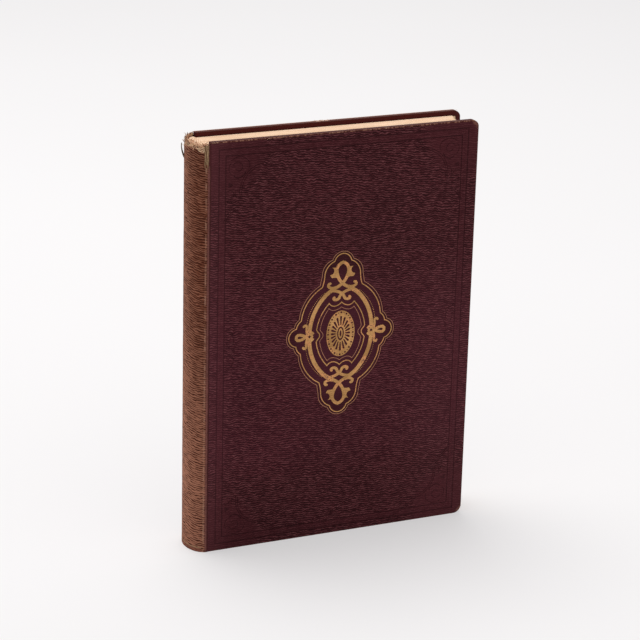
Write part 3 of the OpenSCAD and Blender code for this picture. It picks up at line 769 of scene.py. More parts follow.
def sheet_grid(columns, rows, point, thickness, name, material):
    """A sheet of some thickness: point(i, j) gives its outer face and the direction inward."""
    outer, inner = [], []
    for i in range(columns + 1):
        for j in range(rows + 1):
            p, n = point(i, j)
            outer.append(p)
            inner.append(p + n * thickness)
    verts = outer + inner
    step = rows + 1
    half = len(outer)
    faces = []
    for i in range(columns):
        for j in range(rows):
            a = i * step + j
            faces.append((a, a + step, a + step + 1, a + 1))
            faces.append((half + a, half + a + 1, half + a + step + 1, half + a + step))
    for i in range(columns):
        a, b = i * step, (i + 1) * step
        faces.append((a, half + a, half + b, b))
        a, b = a + rows, b + rows
        faces.append((a, b, half + b, half + a))
    for j in range(rows):
        a, b = j, j + 1
        faces.append((a, b, half + b, half + a))
        a, b = columns * step + j, columns * step + j + 1
        faces.append((a, half + a, half + b, b))
    return new_piece(name, verts, faces, material)


def set_material(mesh, material):
    mesh.materials.clear()
    mesh.materials.append(material)


def welded(node, name, gap):
    """A copy of a node's mesh, and an editable one whose corners within the gap are joined."""
    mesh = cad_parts[node].data.copy()
    mesh.name = name
    held = bmesh.new()
    held.from_mesh(mesh)
    bmesh.ops.remove_doubles(held, verts=held.verts, dist=gap)
    return mesh, held


def get_material(name, build, *values):
    """The finish of that name, built once, with a prefix before its name."""
    name = "book " + name
    return bpy.data.materials.get(name) or build(name, *values)


# Spine

# The crease beside each joint, in degrees round the spine, and its depth
CREASE_AT = math.degrees(math.asin(RIDGE_W / SPINE_A))
CREASE_WIDTH = 4
CREASE_DEPTH = 0.15 * MM


def spine_point(degrees, inset=0.0):
    """A point of the spine's outside at z 0, from 0 at the front joint to 180 at the back one."""
    a = math.radians(degrees)
    normal = Vector((-math.sin(a) / SPINE_A, -math.cos(a) / HALF_T, 0)).normalized()
    beside = min(degrees, 180 - degrees) - CREASE_AT
    crease = CREASE_DEPTH * math.exp(-((beside / CREASE_WIDTH) ** 2))
    p = Vector((SHOULDER_X - SPINE_A * math.sin(a), -HALF_T * math.cos(a), 0))
    return p - normal * (inset + crease), normal


def torn_top(share):
    """Height of the torn cloth at a share of the half thickness across the spine."""
    for (s0, l0), (s1, l1) in zip(TORN_HEAD, TORN_HEAD[1:]):
        if s0 <= share <= s1:
            t = (share - s0) / (s1 - s0)
            return COVER_H - (l0 + (l1 - l0) * t) * MM
    return COVER_H - 0.9 * MM


def rough(x, y, z, size, seed):
    """Smooth noise from -1 to 1, with features of about that size."""
    return noise.noise(Vector((x / size + seed * 17.3, y / size + seed * 5.1, z / size)))


def make_spine(context):
    """The faded cloth of the spine, torn at its head and turned in at its tail."""
    cloth, spine = context.scene.book_cloth, context.scene.book_spine
    columns, rows = 120, 230
    torn = []

    def point(i, j):
        degrees = 180 * i / columns
        p, normal = spine_point(degrees)
        share = -math.cos(math.radians(degrees))
        top = torn_top(share) + 0.25 * MM * rough(degrees / 3, 0, 0, 1, 2)
        t = j / rows
        t = 1 - (1 - t) ** 1.7
        z = top * t
        wave = 0.05 * MM * rough(p.x, p.y, z, 9 * MM, 3)
        wave += 0.03 * MM * rough(p.x, p.y, z, 2.4 * MM, 5)
        below = (top - z) / MM
        ragged = 0.22 * MM * math.exp(-below / 0.8) * rough(p.x, p.y, z, 0.9 * MM, 8)
        dent = 0.06 * MM * math.exp(-(((z - 1.9 * MM) / (0.5 * MM)) ** 2))
        q = p + normal * (wave + ragged + dent) * min(1, min(degrees, 180 - degrees) / 8)
        torn.append(max(0.0, 1 - below / 0.9))
        return Vector((q.x, q.y, z)), -normal

    material = get_material("faded spine cloth", spine_cloth_material, spine, cloth)
    made = sheet_grid(columns, rows, point, CLOTH_T, "spine_covering", material)
    set_values(made.data, "torn", torn + torn)
    sharpen(made.data, 50)
    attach(made, "book_block")
    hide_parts("spine_cloth")

    def turned(i, j):
        degrees = 30 + 120 * i / 60
        p, normal = spine_point(degrees, CLOTH_T + 0.45 * MM)
        z = 12 * MM * j / 12
        return Vector((p.x, p.y, z)), -normal

    lip = sheet_grid(60, 12, turned, CLOTH_T, "spine_turn_in", material)
    set_values(lip.data, "torn", [0.0] * len(lip.data.vertices))
    sharpen(lip.data, 50)
    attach(lip, "book_block")


def tube(points, radii):
    """Vertices and faces of a thin round thread through the points."""
    sides = 5
    verts, faces = [], []
    up = Vector((0.3, 0.2, 0.93)).normalized()
    for k, (p, r) in enumerate(zip(points, radii)):
        before = points[max(0, k - 1)]
        after = points[min(len(points) - 1, k + 1)]
        along = (after - before).normalized()
        side = along.cross(up)
        if side.length < 1e-6:
            side = along.cross(Vector((1, 0, 0)))
        side.normalize()
        other = along.cross(side)
        for s in range(sides):
            a = 2 * math.pi * s / sides
            verts.append(p + (side * math.cos(a) + other * math.sin(a)) * r)
    for k in range(len(points) - 1):
        for s in range(sides):
            a, b = k * sides + s, k * sides + (s + 1) % sides
            faces.append((a, b, b + sides, a + sides))
    faces.append(tuple(range(sides - 1, -1, -1)))
    faces.append(tuple(range((len(points) - 1) * sides, len(points) * sides)))
    return verts, faces


def thread_piece(name, threads, material, body):
    """Many threads in one piece. Those of the spine keep clear of the covers as they open."""
    verts, faces = [], []
    widest = HALF_T - 0.35 * MM
    for points, radii in threads:
        if body == "book_block":
            points = [Vector((q.x, min(max(q.y, -widest), widest), q.z)) for q in points]
        v, f = tube(points, radii)
        base = len(verts)
        verts += v
        faces += [tuple(base + k for k in face) for face in f]
    return new_piece(name, verts, faces, material, body)


def any_way(rng):
    return Vector((rng.uniform(-1, 1), rng.uniform(-1, 1), rng.uniform(-1, 1)))


def wisp(rng, root, direction, length, radius, bend):
    """One loose thread, curling away from its root."""
    steps = 6
    points, radii = [], []
    p, d = root.copy(), direction.normalized()
    turn = any_way(rng) * bend
    for k in range(steps + 1):
        points.append(p.copy())
        radii.append(radius * (1 - 0.6 * k / steps))
        d = (d + turn * (1 / steps)).normalized()
        turn += any_way(rng) * bend * 0.5
        p = p + d * length / steps
    return points, radii


# Colours of bare fibres, each with the tint that it drifts to
LINING_TINT = (0.55, 0.24, 0.14, 1)
INNER_LINING = (0.72, 0.34, 0.21, 1), (0.90, 0.60, 0.35, 1)
# Also used for the dark threads that are painted shade among the pale fibres of the torn head
FRAYED_CLOTH = (0.30, 0.14, 0.08, 1), (0.14, 0.05, 0.035, 1)
LOOSE_CLOTH = (0.12, 0.105, 0.07, 1), (0.22, 0.17, 0.11, 1)
RUBBED_THREADS = (0.66, 0.33, 0.21, 1), (0.90, 0.66, 0.42, 1)
NICK_THREADS = (0.66, 0.40, 0.29, 1), (0.95, 0.80, 0.66, 1)

# Nothing of the torn spine stands above this height
HEAD_LIMIT = COVER_H - 0.1 * MM


def fray_top(degrees):
    """Height that the frayed lining reaches round the head of the spine."""
    heights = ((0, 188.3), (12, 187.9), (30, 187.3), (55, 187.7), (75, 188.2), (95, 188.8),
               (120, 189.0), (150, 189.4), (180, 189.7))
    for (d0, h0), (d1, h1) in zip(heights, heights[1:]):
        if d0 <= degrees <= d1:
            return (h0 + (h1 - h0) * (degrees - d0) / (d1 - d0)) * MM
    return heights[-1][1] * MM


def make_torn_bands(cream, salmon, tan):
    """Layers of torn lining and cloth round the head of the spine."""
    columns, rows = 240, 12

    def lining(depth, base, ragged, seed):
        """A torn band that stands up behind the torn edge of the cloth."""
        def point(i, j):
            degrees = 4 + 172 * i / columns
            share = -math.cos(math.radians(degrees))
            foot = torn_top(share) - base
            tear = ragged * (0.6 * rough(degrees / 4.5, 0, 0, 1, seed)
                             + 0.6 * rough(degrees / 1.2, 0, 0, 1, seed + 1))
            top = min(fray_top(degrees) + tear, HEAD_LIMIT)
            top = max(top, foot + 0.3 * MM)
            t = j / rows
            p, normal = spine_point(degrees, depth + 0.5 * MM * t)
            z = foot + (top - foot) * t
            crumple = t * 0.7 * MM * rough(p.x, p.y, z, 0.8 * MM, seed)
            q = p + normal * crumple
            return Vector((q.x, q.y, z)), -normal
        return point

    def skirt(lift, seed):
        """Crumpled lining that has fallen in over the tops of the pages."""
        def point(i, j):
            degrees = 5 + 112 * i / columns
            t = j / rows
            rise, lay = min(1, t / 0.4), max(0, (t - 0.4) / 0.6)
            reach = 2.7 + 1.9 * rough(degrees / 9, 0, 0, 1, seed)
            reach += 1.3 * rough(degrees / 2.2, 0, 0, 1, seed + 1)
            p, normal = spine_point(degrees, (1.0 + reach * lay) * MM)
            z = 185 * MM + (3.4 * MM + lift) * rise - 1.0 * MM * lay
            z += 0.75 * MM * rough(p.x, p.y, 0, 0.8 * MM, seed + 2) * t
            if lay > 0:
                z = max(z, BLOCK_HIGH.z + 0.05 * MM)
            q = p + normal * 0.5 * MM * rough(p.x, p.y, z, 0.9 * MM, seed + 3)
            return Vector((q.x, q.y, min(z, HEAD_LIMIT))), -normal
        return point

    bands = (
        ("spine_head_lining", lining(0.45 * MM, 1.2 * MM, 0.8 * MM, 4), cream),
        ("spine_head_inner_lining", skirt(0.0, 11), salmon),
        ("spine_head_loose_lining", skirt(0.5 * MM, 23), cream),
        ("spine_head_torn_cloth", lining(0.15 * MM, 1.0 * MM, 0.9 * MM, 17), tan),
    )
    for name, point, material in bands:
        band = sheet_grid(columns, rows, point, 0.08 * MM, name, material)
        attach(band, "book_block")


def make_torn_threads(count, cream, salmon, tan):
    """Bare threads round the head of the spine, with dark ones among them as painted shade, and
    three that hang in loops at its front.
    """
    rng = random.Random(7)
    threads = {"cream": [], "salmon": [], "dark": []}
    # The dark threads are painted shade, set among the pale ones where shade falls in the fray
    kinds = ("cream", "cream", "salmon", "dark", "cream")
    for k in range(count):
        if k % 3 == 0:
            degrees = rng.uniform(2, 112)
            p, normal = spine_point(degrees, rng.uniform(1.0, 5.0) * MM)
            root = Vector((p.x, p.y, rng.uniform(187.3, 188.7) * MM))
            rise = rng.uniform(-0.15, 0.35)
        else:
            degrees = rng.uniform(2, 178)
            p, normal = spine_point(degrees, rng.uniform(-0.1, 0.9) * MM)
            foot = torn_top(-math.cos(math.radians(degrees))) - 0.5 * MM
            root = Vector((p.x, p.y, rng.uniform(foot, fray_top(degrees))))
            rise = rng.uniform(-0.3, 0.9)
        along = Vector((-normal.y, normal.x, 0)) * rng.choice((-1, 1))
        direction = Vector((0, 0, rise)) + along * rng.uniform(0, 1.2)
        direction += normal * rng.uniform(-0.35, 0.25)
        length = rng.uniform(0.8, 2.6) * MM
        points, radii = wisp(rng, root, direction, length, rng.uniform(0.07, 0.15) * MM, 0.9)
        points = [Vector((q.x, q.y, min(q.z, HEAD_LIMIT))) for q in points]
        threads[kinds[k % len(kinds)]].append((points, radii))
    for first, last, level, sag, radius in (
        (26, 44, 187.0, 0.9, 0.17), (30, 50, 187.6, 0.5, 0.14), (22, 36, 186.3, 0.7, 0.14),
    ):
        loop = []
        for k in range(17):
            t = k / 16
            p, normal = spine_point(first + (last - first) * t, -0.25 * MM)
            p.z = (level - sag * math.sin(math.pi * t) + 0.4 * t) * MM
            loop.append(p + normal * 0.25 * MM * math.sin(math.pi * t))
        threads["cream"].append((loop, [radius * MM] * len(loop)))
    for kind, material in (("cream", cream), ("salmon", salmon), ("dark", tan)):
        thread_piece(f"spine_head_{kind}_threads", threads[kind], material, "book_block")


def make_loose_edge():
    """A dark strand of the cloth that stands away from the spine under its torn edge."""
    def loose(i, j):
        t = j / 40
        bow = 0.10 + 1.25 * math.sin(math.pi * min(1, t * 0.62)) ** 0.8
        degrees = 114 + 16 * i / 4 + 3 * math.sin(5 * t)
        p, normal = spine_point(degrees, -bow * MM)
        mid, _ = spine_point(122, -bow * MM)
        q = mid + (p - mid) * (1 - 0.6 * t)
        z = (180.2 + 6.3 * t) * MM
        return Vector((q.x, q.y, z)), -normal

    dark = get_material("loose cloth", fibre_material, *LOOSE_CLOTH)
    sliver = sheet_grid(4, 40, loose, 0.38 * MM, "spine_loose_edge", dark)
    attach(sliver, "book_block")


def make_torn_head(context):
    """The torn layers, bare threads and loose strand at the head of the spine."""
    spine = context.scene.book_spine
    cream = get_material("frayed lining", fibre_material, spine.thread_colour, LINING_TINT)
    salmon = get_material("inner lining", fibre_material, *INNER_LINING)
    tan = get_material("frayed cloth", fibre_material, *FRAYED_CLOTH)
    make_torn_bands(cream, salmon, tan)
    make_torn_threads(spine.thread_count, cream, salmon, tan)
    make_loose_edge()


# Covers and joints

def make_nick(rng, body):
    """The light threads that show under the colour where the back cover's head is nicked."""
    cream = get_material("nick threads", fibre_material, *NICK_THREADS)
    high = COVER_H + 0.30 * MM
    loose = []
    for _ in range(34):
        x = rng.uniform(-2.4, 2.2) * MM
        root = Vector((x, HALF_T - rng.uniform(0.0, 1.1) * MM, COVER_H - 0.1 * MM))
        direction = Vector((rng.choice((-1, 1)), rng.uniform(-0.5, 0.1), 0.1))
        points, radii = wisp(rng, root, direction, rng.uniform(0.8, 1.8) * MM, 0.11 * MM, 0.5)
        loose.append(([Vector((q.x, min(q.y, HALF_T), min(q.z, high))) for q in points], radii))
    thread_piece("head_nick_threads", loose, cream, body)


def head_fringe(name, side, body):
    """Bare threads along the head edge of a cover, thickest at its corners and at a nick."""
    rng = random.Random(31 + side)
    places = []
    for _ in range(34 if side == BACK else 12):
        places.append(JOINT_X + 0.5 * MM + (FORE_X - JOINT_X - 1.5 * MM) * rng.random())
    places += [JOINT_X + rng.uniform(0.2, 2.4) * MM for _ in range(12)]
    if side == BACK:
        places += [rng.uniform(-3.2, 2.6) * MM for _ in range(24)]
        places += [FORE_X - rng.uniform(1.6, 6.0) * MM for _ in range(16)]
    pink = get_material("rubbed threads", fibre_material, *RUBBED_THREADS)
    low, high = COVER_H - 0.6 * MM, COVER_H + 0.05 * MM
    nearest = JOINT_X + 0.15 * MM
    made = []
    for x in places:
        root = Vector((x, side * (HALF_T - rng.uniform(0.0, 0.45) * MM),
                       COVER_H - rng.uniform(0.05, 0.35) * MM))
        if side == BACK and x > FORE_X - 6 * MM:
            root.z -= 0.2 * MM
        direction = Vector((rng.choice((-1, 1)) * rng.uniform(0.5, 1), rng.uniform(-0.2, 0.2), 0))
        points, radii = wisp(rng, root, direction, rng.uniform(0.5, 1.6) * MM, 0.07 * MM, 0.5)
        points = [Vector((max(q.x, nearest), q.y, min(max(q.z, low), high))) for q in points]
        made.append((points, radii))
    if side == BACK:
        make_nick(rng, body)
    thread_piece(name, made, pink, body)


def joint_end_cap(name, side, material, body):
    """Cloth turned in over the end of the board at the joint."""
    def point(i, j):
        y = HALF_T - 0.1 * MM - (COVER_T - 0.3 * MM) * i / 4
        z = 170 * MM + (COVER_H - 170.15 * MM) * j / 40
        return Vector((JOINT_X - 0.06 * MM, side * y, z)), Vector((1, 0, 0))

    made = sheet_grid(4, 40, point, TRIM_T, name, material)
    set_values(made.data, "across", [1.0] * len(made.data.vertices))
    if side == BACK:
        made.data.flip_normals()
    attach(made, body)


def joint_strip(name, side, material):
    """Cloth over the ridge at a joint, from the crease on to the cover."""
    columns, rows = 24, 300
    shares = []
    top = COVER_H - 1.0 * MM
    lift = 0.03 * MM
    on_spine = columns - 3
    last = JOINT_X + 0.12 * MM

    def point(i, j):
        t = j / rows
        share = min(1.0, i / on_spine)
        if i <= on_spine:
            degrees = (CREASE_AT + 1.5) * (1 - share)
            p, normal = spine_point(degrees, -lift)
        else:
            x = SHOULDER_X + (last - SHOULDER_X) * (i - on_spine) / (columns - on_spine)
            p, normal = Vector((x, -HALF_T - lift, 0)), Vector((0, -1, 0))
        ragged = max(0, rough(i / 2.5, side, 0, 1, 3)) + 0.4 * rough(i, side, 1, 1, 5)
        z = (top - 0.7 * MM * ragged) * t
        swell = 0.09 * MM * math.sin(math.pi * share) ** 0.6
        lumps = 0.05 * MM * rough(p.x * 2, p.y, z, 2.2 * MM, 21) * math.sin(math.pi * share)
        shares.append(share)
        sway = 0.10 * MM * rough(0, side, z, 5 * MM, 31) if i in (0, columns) else 0.0
        q = p + normal * max(0, swell + lumps) + Vector((sway, 0, 0))
        return Vector((q.x, q.y * -side, z)), Vector((-normal.x, normal.y * side, 0))

    made = sheet_grid(columns, rows, point, TRIM_T, name, material)
    set_values(made.data, "across", shares + shares)
    if side == BACK:
        made.data.flip_normals()
    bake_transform(made)


def gutter_strip(name, side, material):
    """Endpaper in the gutter, folded down between the board's edge and the pages' shoulder."""
    face = HALF_T - COVER_T - 0.15 * MM
    leaf = -FLYLEAF_LOW.y
    deep = HALF_T - 0.42 * MM
    halfway = (face + deep) / 2
    gap, bend = 0.10 * MM, 0.08 * MM
    outline = [
        (JOINT_X + 0.55 * MM, face - 0.01 * MM), (JOINT_X + 0.2 * MM, face - 0.01 * MM),
        (JOINT_X + gap, face + gap), (JOINT_X + gap, halfway), (JOINT_X + bend, deep - gap),
        (JOINT_X, deep),
        (JOINT_X - bend, deep - gap), (JOINT_X - gap, halfway), (JOINT_X - gap, leaf + 0.02 * MM),
    ]
    rows = 40
    low, high = BLOCK_LOW.z + 0.05 * MM, BLOCK_HIGH.z - 0.05 * MM
    verts, faces = [], []
    for x, y in outline:
        for j in range(rows + 1):
            verts.append((x, y * side, low + (high - low) * j / rows))
    step = rows + 1
    for i in range(len(outline) - 1):
        for j in range(rows):
            a = i * step + j
            faces.append((a, a + step, a + step + 1, a + 1))
    made = new_piece(name, verts, faces, material, None)
    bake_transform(made)


# Pages

def make_pages(context):
    """Stacked gatherings of leaves: wavy head and tail, hollow fore-edge, rounded spine."""
    paper = context.scene.book_paper
    half = HALF_T - COVER_T - 0.42 * MM
    columns, rows, tall = 150, 60, 110
    in_round = 3
    hollow = 2.0 * MM
    corner = 1.3 * MM
    shoulder = HALF_T - 1.3 * MM
    spine_x = SHOULDER_X - 0.4 * MM
    round_out = spine_x - BLOCK_LOW.x - 0.1 * MM
    fore_x = BLOCK_HIGH.x
    low, high = BLOCK_LOW.z, BLOCK_HIGH.z + 0.45 * MM
    rng = random.Random(3)
    per = columns / paper.gathering_count
    offset = [rng.uniform(-0.10, 0.0) * MM for _ in range(columns + 1)]

    def wobble(i, s):
        gather = (i / per) % 1.0
        dip = -0.10 * MM * (1 - math.sin(math.pi * gather)) * (0.35 + 0.65 * (1 - s))
        return dip + offset[i] * 0.6

    def ends(i):
        """Place of a leaf across the block, and its ends at the spine and the fore-edge."""
        t = 2 * i / columns - 1
        back = spine_x - math.sqrt(max(0, 1 - t * t)) * round_out
        return t, back, fore_x - hollow * (1 - t * t) - 0.3 * MM * (1 + t)

    def place(i, k):
        t, x0, x1 = ends(i)
        if k <= in_round:
            x = x0 + (SHOULDER_X - x0) * k / in_round
        else:
            x = x1 - (x1 - SHOULDER_X) * (1 - (k - in_round) / (rows - in_round)) ** 1.6
        flare = min(1, max(0, (SHOULDER_X - x) / (0.4 * MM)))
        y = t * (half + (shoulder - half) * flare)
        return x, y, x1

    verts, faces = [], []
    grid = {}

    def vert(key, p):
        if key not in grid:
            grid[key] = len(verts)
            verts.append(p)
        return grid[key]

    def round_drop(x, x1):
        near = max(0.0, x - (x1 - corner))
        return corner - math.sqrt(max(0.0, corner * corner - near * near))

    for end, sign in ((high, -1), (low, 1)):
        for i in range(columns + 1):
            for k in range(rows + 1):
                x, y, x1 = place(i, k)
                drop = round_drop(x, x1)
                z = end + sign * (drop - wobble(i, k / rows))
                vert((sign, i, k), Vector((x, y, z)))
    for i in range(columns + 1):
        for m in range(1, tall):
            t = m / tall
            _, y, x1 = place(i, rows)
            z = low + corner + (high - low - 2 * corner) * t
            sway = 0.06 * MM * rough(i / 3, z, 0, 30 * MM, 9) + offset[i] * 0.9
            vert(("fore", i, m), Vector((x1 + sway, y, z)))
            x0, y, _ = place(i, 0)
            vert(("back", i, m), Vector((x0, y, low + (high - low) * t)))

    for sign in (-1, 1):
        for i in range(columns):
            for k in range(rows):
                f = [grid[(sign, i, k)], grid[(sign, i, k + 1)], grid[(sign, i + 1, k + 1)],
                     grid[(sign, i + 1, k)]]
                faces.append(f if sign < 0 else f[::-1])

    def corner_at(side, i, m):
        if m in (0, tall):
            return grid[(1 if m == 0 else -1, i, rows if side == "fore" else 0)]
        return grid[(side, i, m)]

    for side in ("fore", "back"):
        for i in range(columns):
            for m in range(tall):
                f = [corner_at(side, i, m), corner_at(side, i + 1, m),
                     corner_at(side, i + 1, m + 1), corner_at(side, i, m + 1)]
                faces.append(f if side == "fore" else f[::-1])

    def on_side(i, k, m):
        if m in (0, tall):
            return grid[(1 if m == 0 else -1, i, k)]
        if k in (0, rows):
            return grid[("fore" if k else "back", i, m)]
        below, above = verts[grid[(1, i, k)]], verts[grid[(-1, i, k)]]
        return vert(("side", i, k, m), below.lerp(above, m / tall))

    for i, turn in ((0, 1), (columns, -1)):
        for k in range(rows):
            for m in range(tall):
                f = [on_side(i, k, m), on_side(i, k + 1, m), on_side(i, k + 1, m + 1),
                     on_side(i, k, m + 1)]
                faces.append(f[::turn])
    material = get_material("page edges", page_edge_material, paper)
    made = new_piece("page_block", verts, faces, material)
    sharpen(made.data, 40)
    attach(made, "book_block")
    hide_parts("text_block")


# Covering cloth and gold

def rounded_cover(node, name, material, body, radius):
    """The covering cloth of a cover, with its edges rounded over the board."""
    mesh, held = welded(node, name, 0.004 * MM)
    bmesh.ops.dissolve_limit(
        held, angle_limit=math.radians(0.5), verts=held.verts, edges=held.edges,
        use_dissolve_boundaries=False,
    )
    low = Vector([min(v.co[k] for v in held.verts) for k in range(3)])
    high = Vector([max(v.co[k] for v in held.verts) for k in range(3)])
    near = 4.2 * MM

    def on_rim(edge):
        if len(edge.link_faces) != 2 or edge.calc_face_angle(0) < math.radians(60):
            return False
        for v in edge.verts:
            on_face = abs(v.co.y - low.y) < 1e-6 or abs(v.co.y - high.y) < 1e-6
            at_rim = v.co.x > high.x - near or v.co.z < low.z + near or v.co.z > high.z - near
            if not (on_face and at_rim):
                return False
        # One face is the outside or inside of the cover, the other stands across it on its rim
        flat = [abs(f.normal.y) > 0.9 for f in edge.link_faces]
        if flat[0] == flat[1]:
            return False
        wall = edge.link_faces[1 if flat[0] else 0]
        middle = wall.calc_center_median()
        outward = Vector((0.3 if middle.x > 60 * MM else 0, 0, middle.z - COVER_H / 2))
        faces_out = wall.normal.dot(outward) > 0 and wall.normal.x > -0.5
        return faces_out and wall.calc_area() > 0.2 * MM * MM

    rim = [e for e in held.edges if on_rim(e)]
    bmesh.ops.bevel(
        held, geom=rim, offset=radius, segments=4, profile=0.5, affect="EDGES",
        clamp_overlap=True,
    )
    held.to_mesh(mesh)
    held.free()
    side = FRONT if high.y < 0 else BACK
    tooled = []
    for v in mesh.vertices:
        deep = HALF_T - side * v.co.y
        inside = v.co.x < FORE_X - 2 * MM and 2 * MM < v.co.z < COVER_H - 2 * MM
        tooled.append(1.0 if inside and 0.05 * MM < deep < 0.2 * MM else 0.0)
    set_values(mesh, "tooled", tooled)
    set_material(mesh, material)
    made = new_object(name, mesh)
    sharpen(mesh, 34)
    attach(made, body)
    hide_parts(node)


def bead_border(name, side, material, body):
    """Row of pressed beads between the two lines of the tooled frame."""
    pitch = 1.37 * MM
    mid = FRAME_BAND / 2
    x0, x1 = JOINT_X + FRAME_JOINT + mid, FORE_X - FRAME_FORE - mid
    z0, z1 = FRAME_END + mid, COVER_H - FRAME_END - mid
    centres = []
    nx, nz = round((x1 - x0) / pitch), round((z1 - z0) / pitch)
    for k in range(nx):
        centres.append((x0 + (x1 - x0) * k / nx, z1))
        centres.append((x1 - (x1 - x0) * k / nx, z0))
    for k in range(nz):
        centres.append((x1, z1 - (z1 - z0) * k / nz))
        centres.append((x0, z0 + (z1 - z0) * k / nz))
    verts, faces = [], []
    ring, tall = 8, 0.09 * MM
    for cx, cz in centres:
        base = len(verts)
        for r, h in ((0.44 * MM, -0.02 * MM), (0.34 * MM, 0.05 * MM), (0.16 * MM, tall)):
            for s in range(ring):
                a = 2 * math.pi * s / ring
                verts.append((cx + r * math.cos(a), side * (HALF_T + h), cz + r * math.sin(a)))
        for level in range(2):
            for s in range(ring):
                a = base + level * ring + s
                b = base + level * ring + (s + 1) % ring
                faces.append((a, b, b + ring, a + ring))
        faces.append(tuple(base + 2 * ring + s for s in range(ring)))
        faces.append(tuple(base + s for s in range(ring - 1, -1, -1)))
    made = new_piece(name, verts, faces, material, body)
    if side == BACK:
        made.data.flip_normals()


def make_gilding(context):
    """The gold, which knows its thin lines and beads from its broad straps."""
    cloth, gold = context.scene.book_cloth, context.scene.book_gold
    mesh, held = welded("gilt_centrepiece", "gilding", 0.002 * MM)
    held.verts.ensure_lookup_table()
    held.verts.index_update()
    thin = [0.0] * len(held.verts)
    seen = set()
    for start in held.verts:
        if start.index in seen:
            continue
        seen.add(start.index)
        island, waiting = [], [start]
        while waiting:
            here = waiting.pop()
            island.append(here)
            for edge in here.link_edges:
                other = edge.other_vert(here)
                if other.index not in seen:
                    seen.add(other.index)
                    waiting.append(other)
        tops = {face for v in island for face in v.link_faces if face.normal.y < -0.5}
        area = sum(face.calc_area() for face in tops)
        border = sum(edge.calc_length() for face in tops for edge in face.edges
                     if any(other.normal.y > -0.5 for other in edge.link_faces))
        if border > 3 * MM and 2 * area < 0.32 * MM * border:
            for v in island:
                thin[v.index] = 1.0
    held.to_mesh(mesh)
    held.free()
    set_values(mesh, "thin", thin)
    set_material(mesh, get_material("gold leaf", gold_material, gold, cloth))
    made = new_object("gilding", mesh)
    sharpen(mesh, 34)
    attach(made, "front_cover")
    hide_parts("gilt_centrepiece")


# Operators

class BOOK_OT_covers(bpy.types.Operator):
    """Cover both boards with tooled cloth, and round it over their edges"""

    bl_idname = "book.covers"
    bl_label = "Cover Cloth"

    def execute(self, context):
        cloth = context.scene.book_cloth
        radius = cloth.edge_radius
        front = get_material("front cover cloth", cover_cloth_material, cloth, True)
        back = get_material("back cover cloth", cover_cloth_material, cloth, False)
        rounded_cover("front_cover_cloth", "front_covering", front, "front_cover", radius)
        rounded_cover("back_cover_cloth", "back_covering", back, "back_cover", radius)
        bead_border("front_bead_border", FRONT, front, "front_cover")
        bead_border("back_bead_border", BACK, back, "back_cover")
        head_fringe("front_head_fringe", FRONT, "front_cover")
        head_fringe("back_head_fringe", BACK, "back_cover")
        return {"FINISHED"}


class BOOK_OT_gilding(bpy.types.Operator):
    """Gild the centrepiece of the front cover"""

    bl_idname = "book.gilding"
    bl_label = "Gilding"

    def execute(self, context):
        make_gilding(context)
        return {"FINISHED"}


class BOOK_OT_spine(bpy.types.Operator):
    """Make the faded cloth of the spine and its torn, frayed head"""

    bl_idname = "book.spine"
    bl_label = "Spine"

    def execute(self, context):
        make_spine(context)
        make_torn_head(context)
        return {"FINISHED"}


class BOOK_OT_joints(bpy.types.Operator):
    """Lead the cloth over both joints, and the endpapers through both gutters"""

    bl_idname = "book.joints"
    bl_label = "Joints"

    def execute(self, context):
        scene, paper = context.scene, context.scene.book_paper
        over = get_material(
            "joint cloth", joint_cloth_material, scene.book_spine, scene.book_cloth
        )
        gutter = get_material("endpaper", paper_material, paper.endpaper_colour)
        joint_strip("front_joint_cloth", FRONT, over)
        joint_strip("back_joint_cloth", BACK, over)
        joint_end_cap("front_joint_end", FRONT, over, "front_cover")
        joint_end_cap("back_joint_end", BACK, over, "back_cover")
        gutter_strip("front_gutter", FRONT, gutter)
        gutter_strip("back_gutter", BACK, gutter)
        return {"FINISHED"}


class BOOK_OT_pages(bpy.types.Operator):
    """Make the sewn block of pages"""

    bl_idname = "book.pages"
    bl_label = "Pages"

    def execute(self, context):
        make_pages(context)
        return {"FINISHED"}


class BOOK_OT_inside(bpy.types.Operator):
    """Give the endpapers, boards, card, gauze and cords their materials"""

    bl_idname = "book.inside"
    bl_label = "Inside of the Case"

    def execute(self, context):
        paper = context.scene.book_paper
        endpaper = get_material("endpaper", paper_material, paper.endpaper_colour)
        lining = get_material("spine lining", paper_material, (0.55, 0.42, 0.27, 1), 0.03 * MM)
        board = get_material("board", board_material, paper.board_colour)
        gauze = get_material("gauze", woven_material, (0.62, 0.55, 0.42, 1), 0.9 * MM)
        cord = get_material("sewing cord", woven_material, (0.60, 0.50, 0.34, 1), 0.5 * MM)
        for material, nodes in (
            (endpaper, ("front_pastedown", "back_pastedown", "front_flyleaf", "back_flyleaf")),
            (lining, ("spine_inlay", "spine_lining")),
            (board, ("front_board", "back_board")),
            (gauze, ("spine_mull", "front_mull_flange", "back_mull_flange")),
            (cord, ("sewing_cords",)),
        ):
            for node in nodes:
                set_material(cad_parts[node].data, material)
        return {"FINISHED"}


class BOOK_OT_stage(bpy.types.Operator):
    """Set up the pale floor, the room, the soft lamp and the camera"""

    bl_idname = "book.stage"
    bl_label = "Stage"

    def execute(self, context):
        scene, stage = context.scene, context.scene.book_stage
        make_floor(stage)
        make_world(scene, stage)
        make_lamp(stage)
        make_camera(scene)
        scene.view_settings.view_transform = "Standard"
        return {"FINISHED"}


# Stage

ROOM_COLOUR = (1.0, 0.99, 0.995, 1)
ROOM_BRIGHTNESS = 0.96


def seen_directly(tree):
    """1 for what the camera sees, straight or through a reflection or glass."""
    light = tree.nodes.new("ShaderNodeLightPath").outputs
    seen = plus(tree, light["Is Camera Ray"], light["Is Glossy Ray"], clamp=True)
    return plus(tree, seen, light["Is Transmission Ray"], clamp=True)


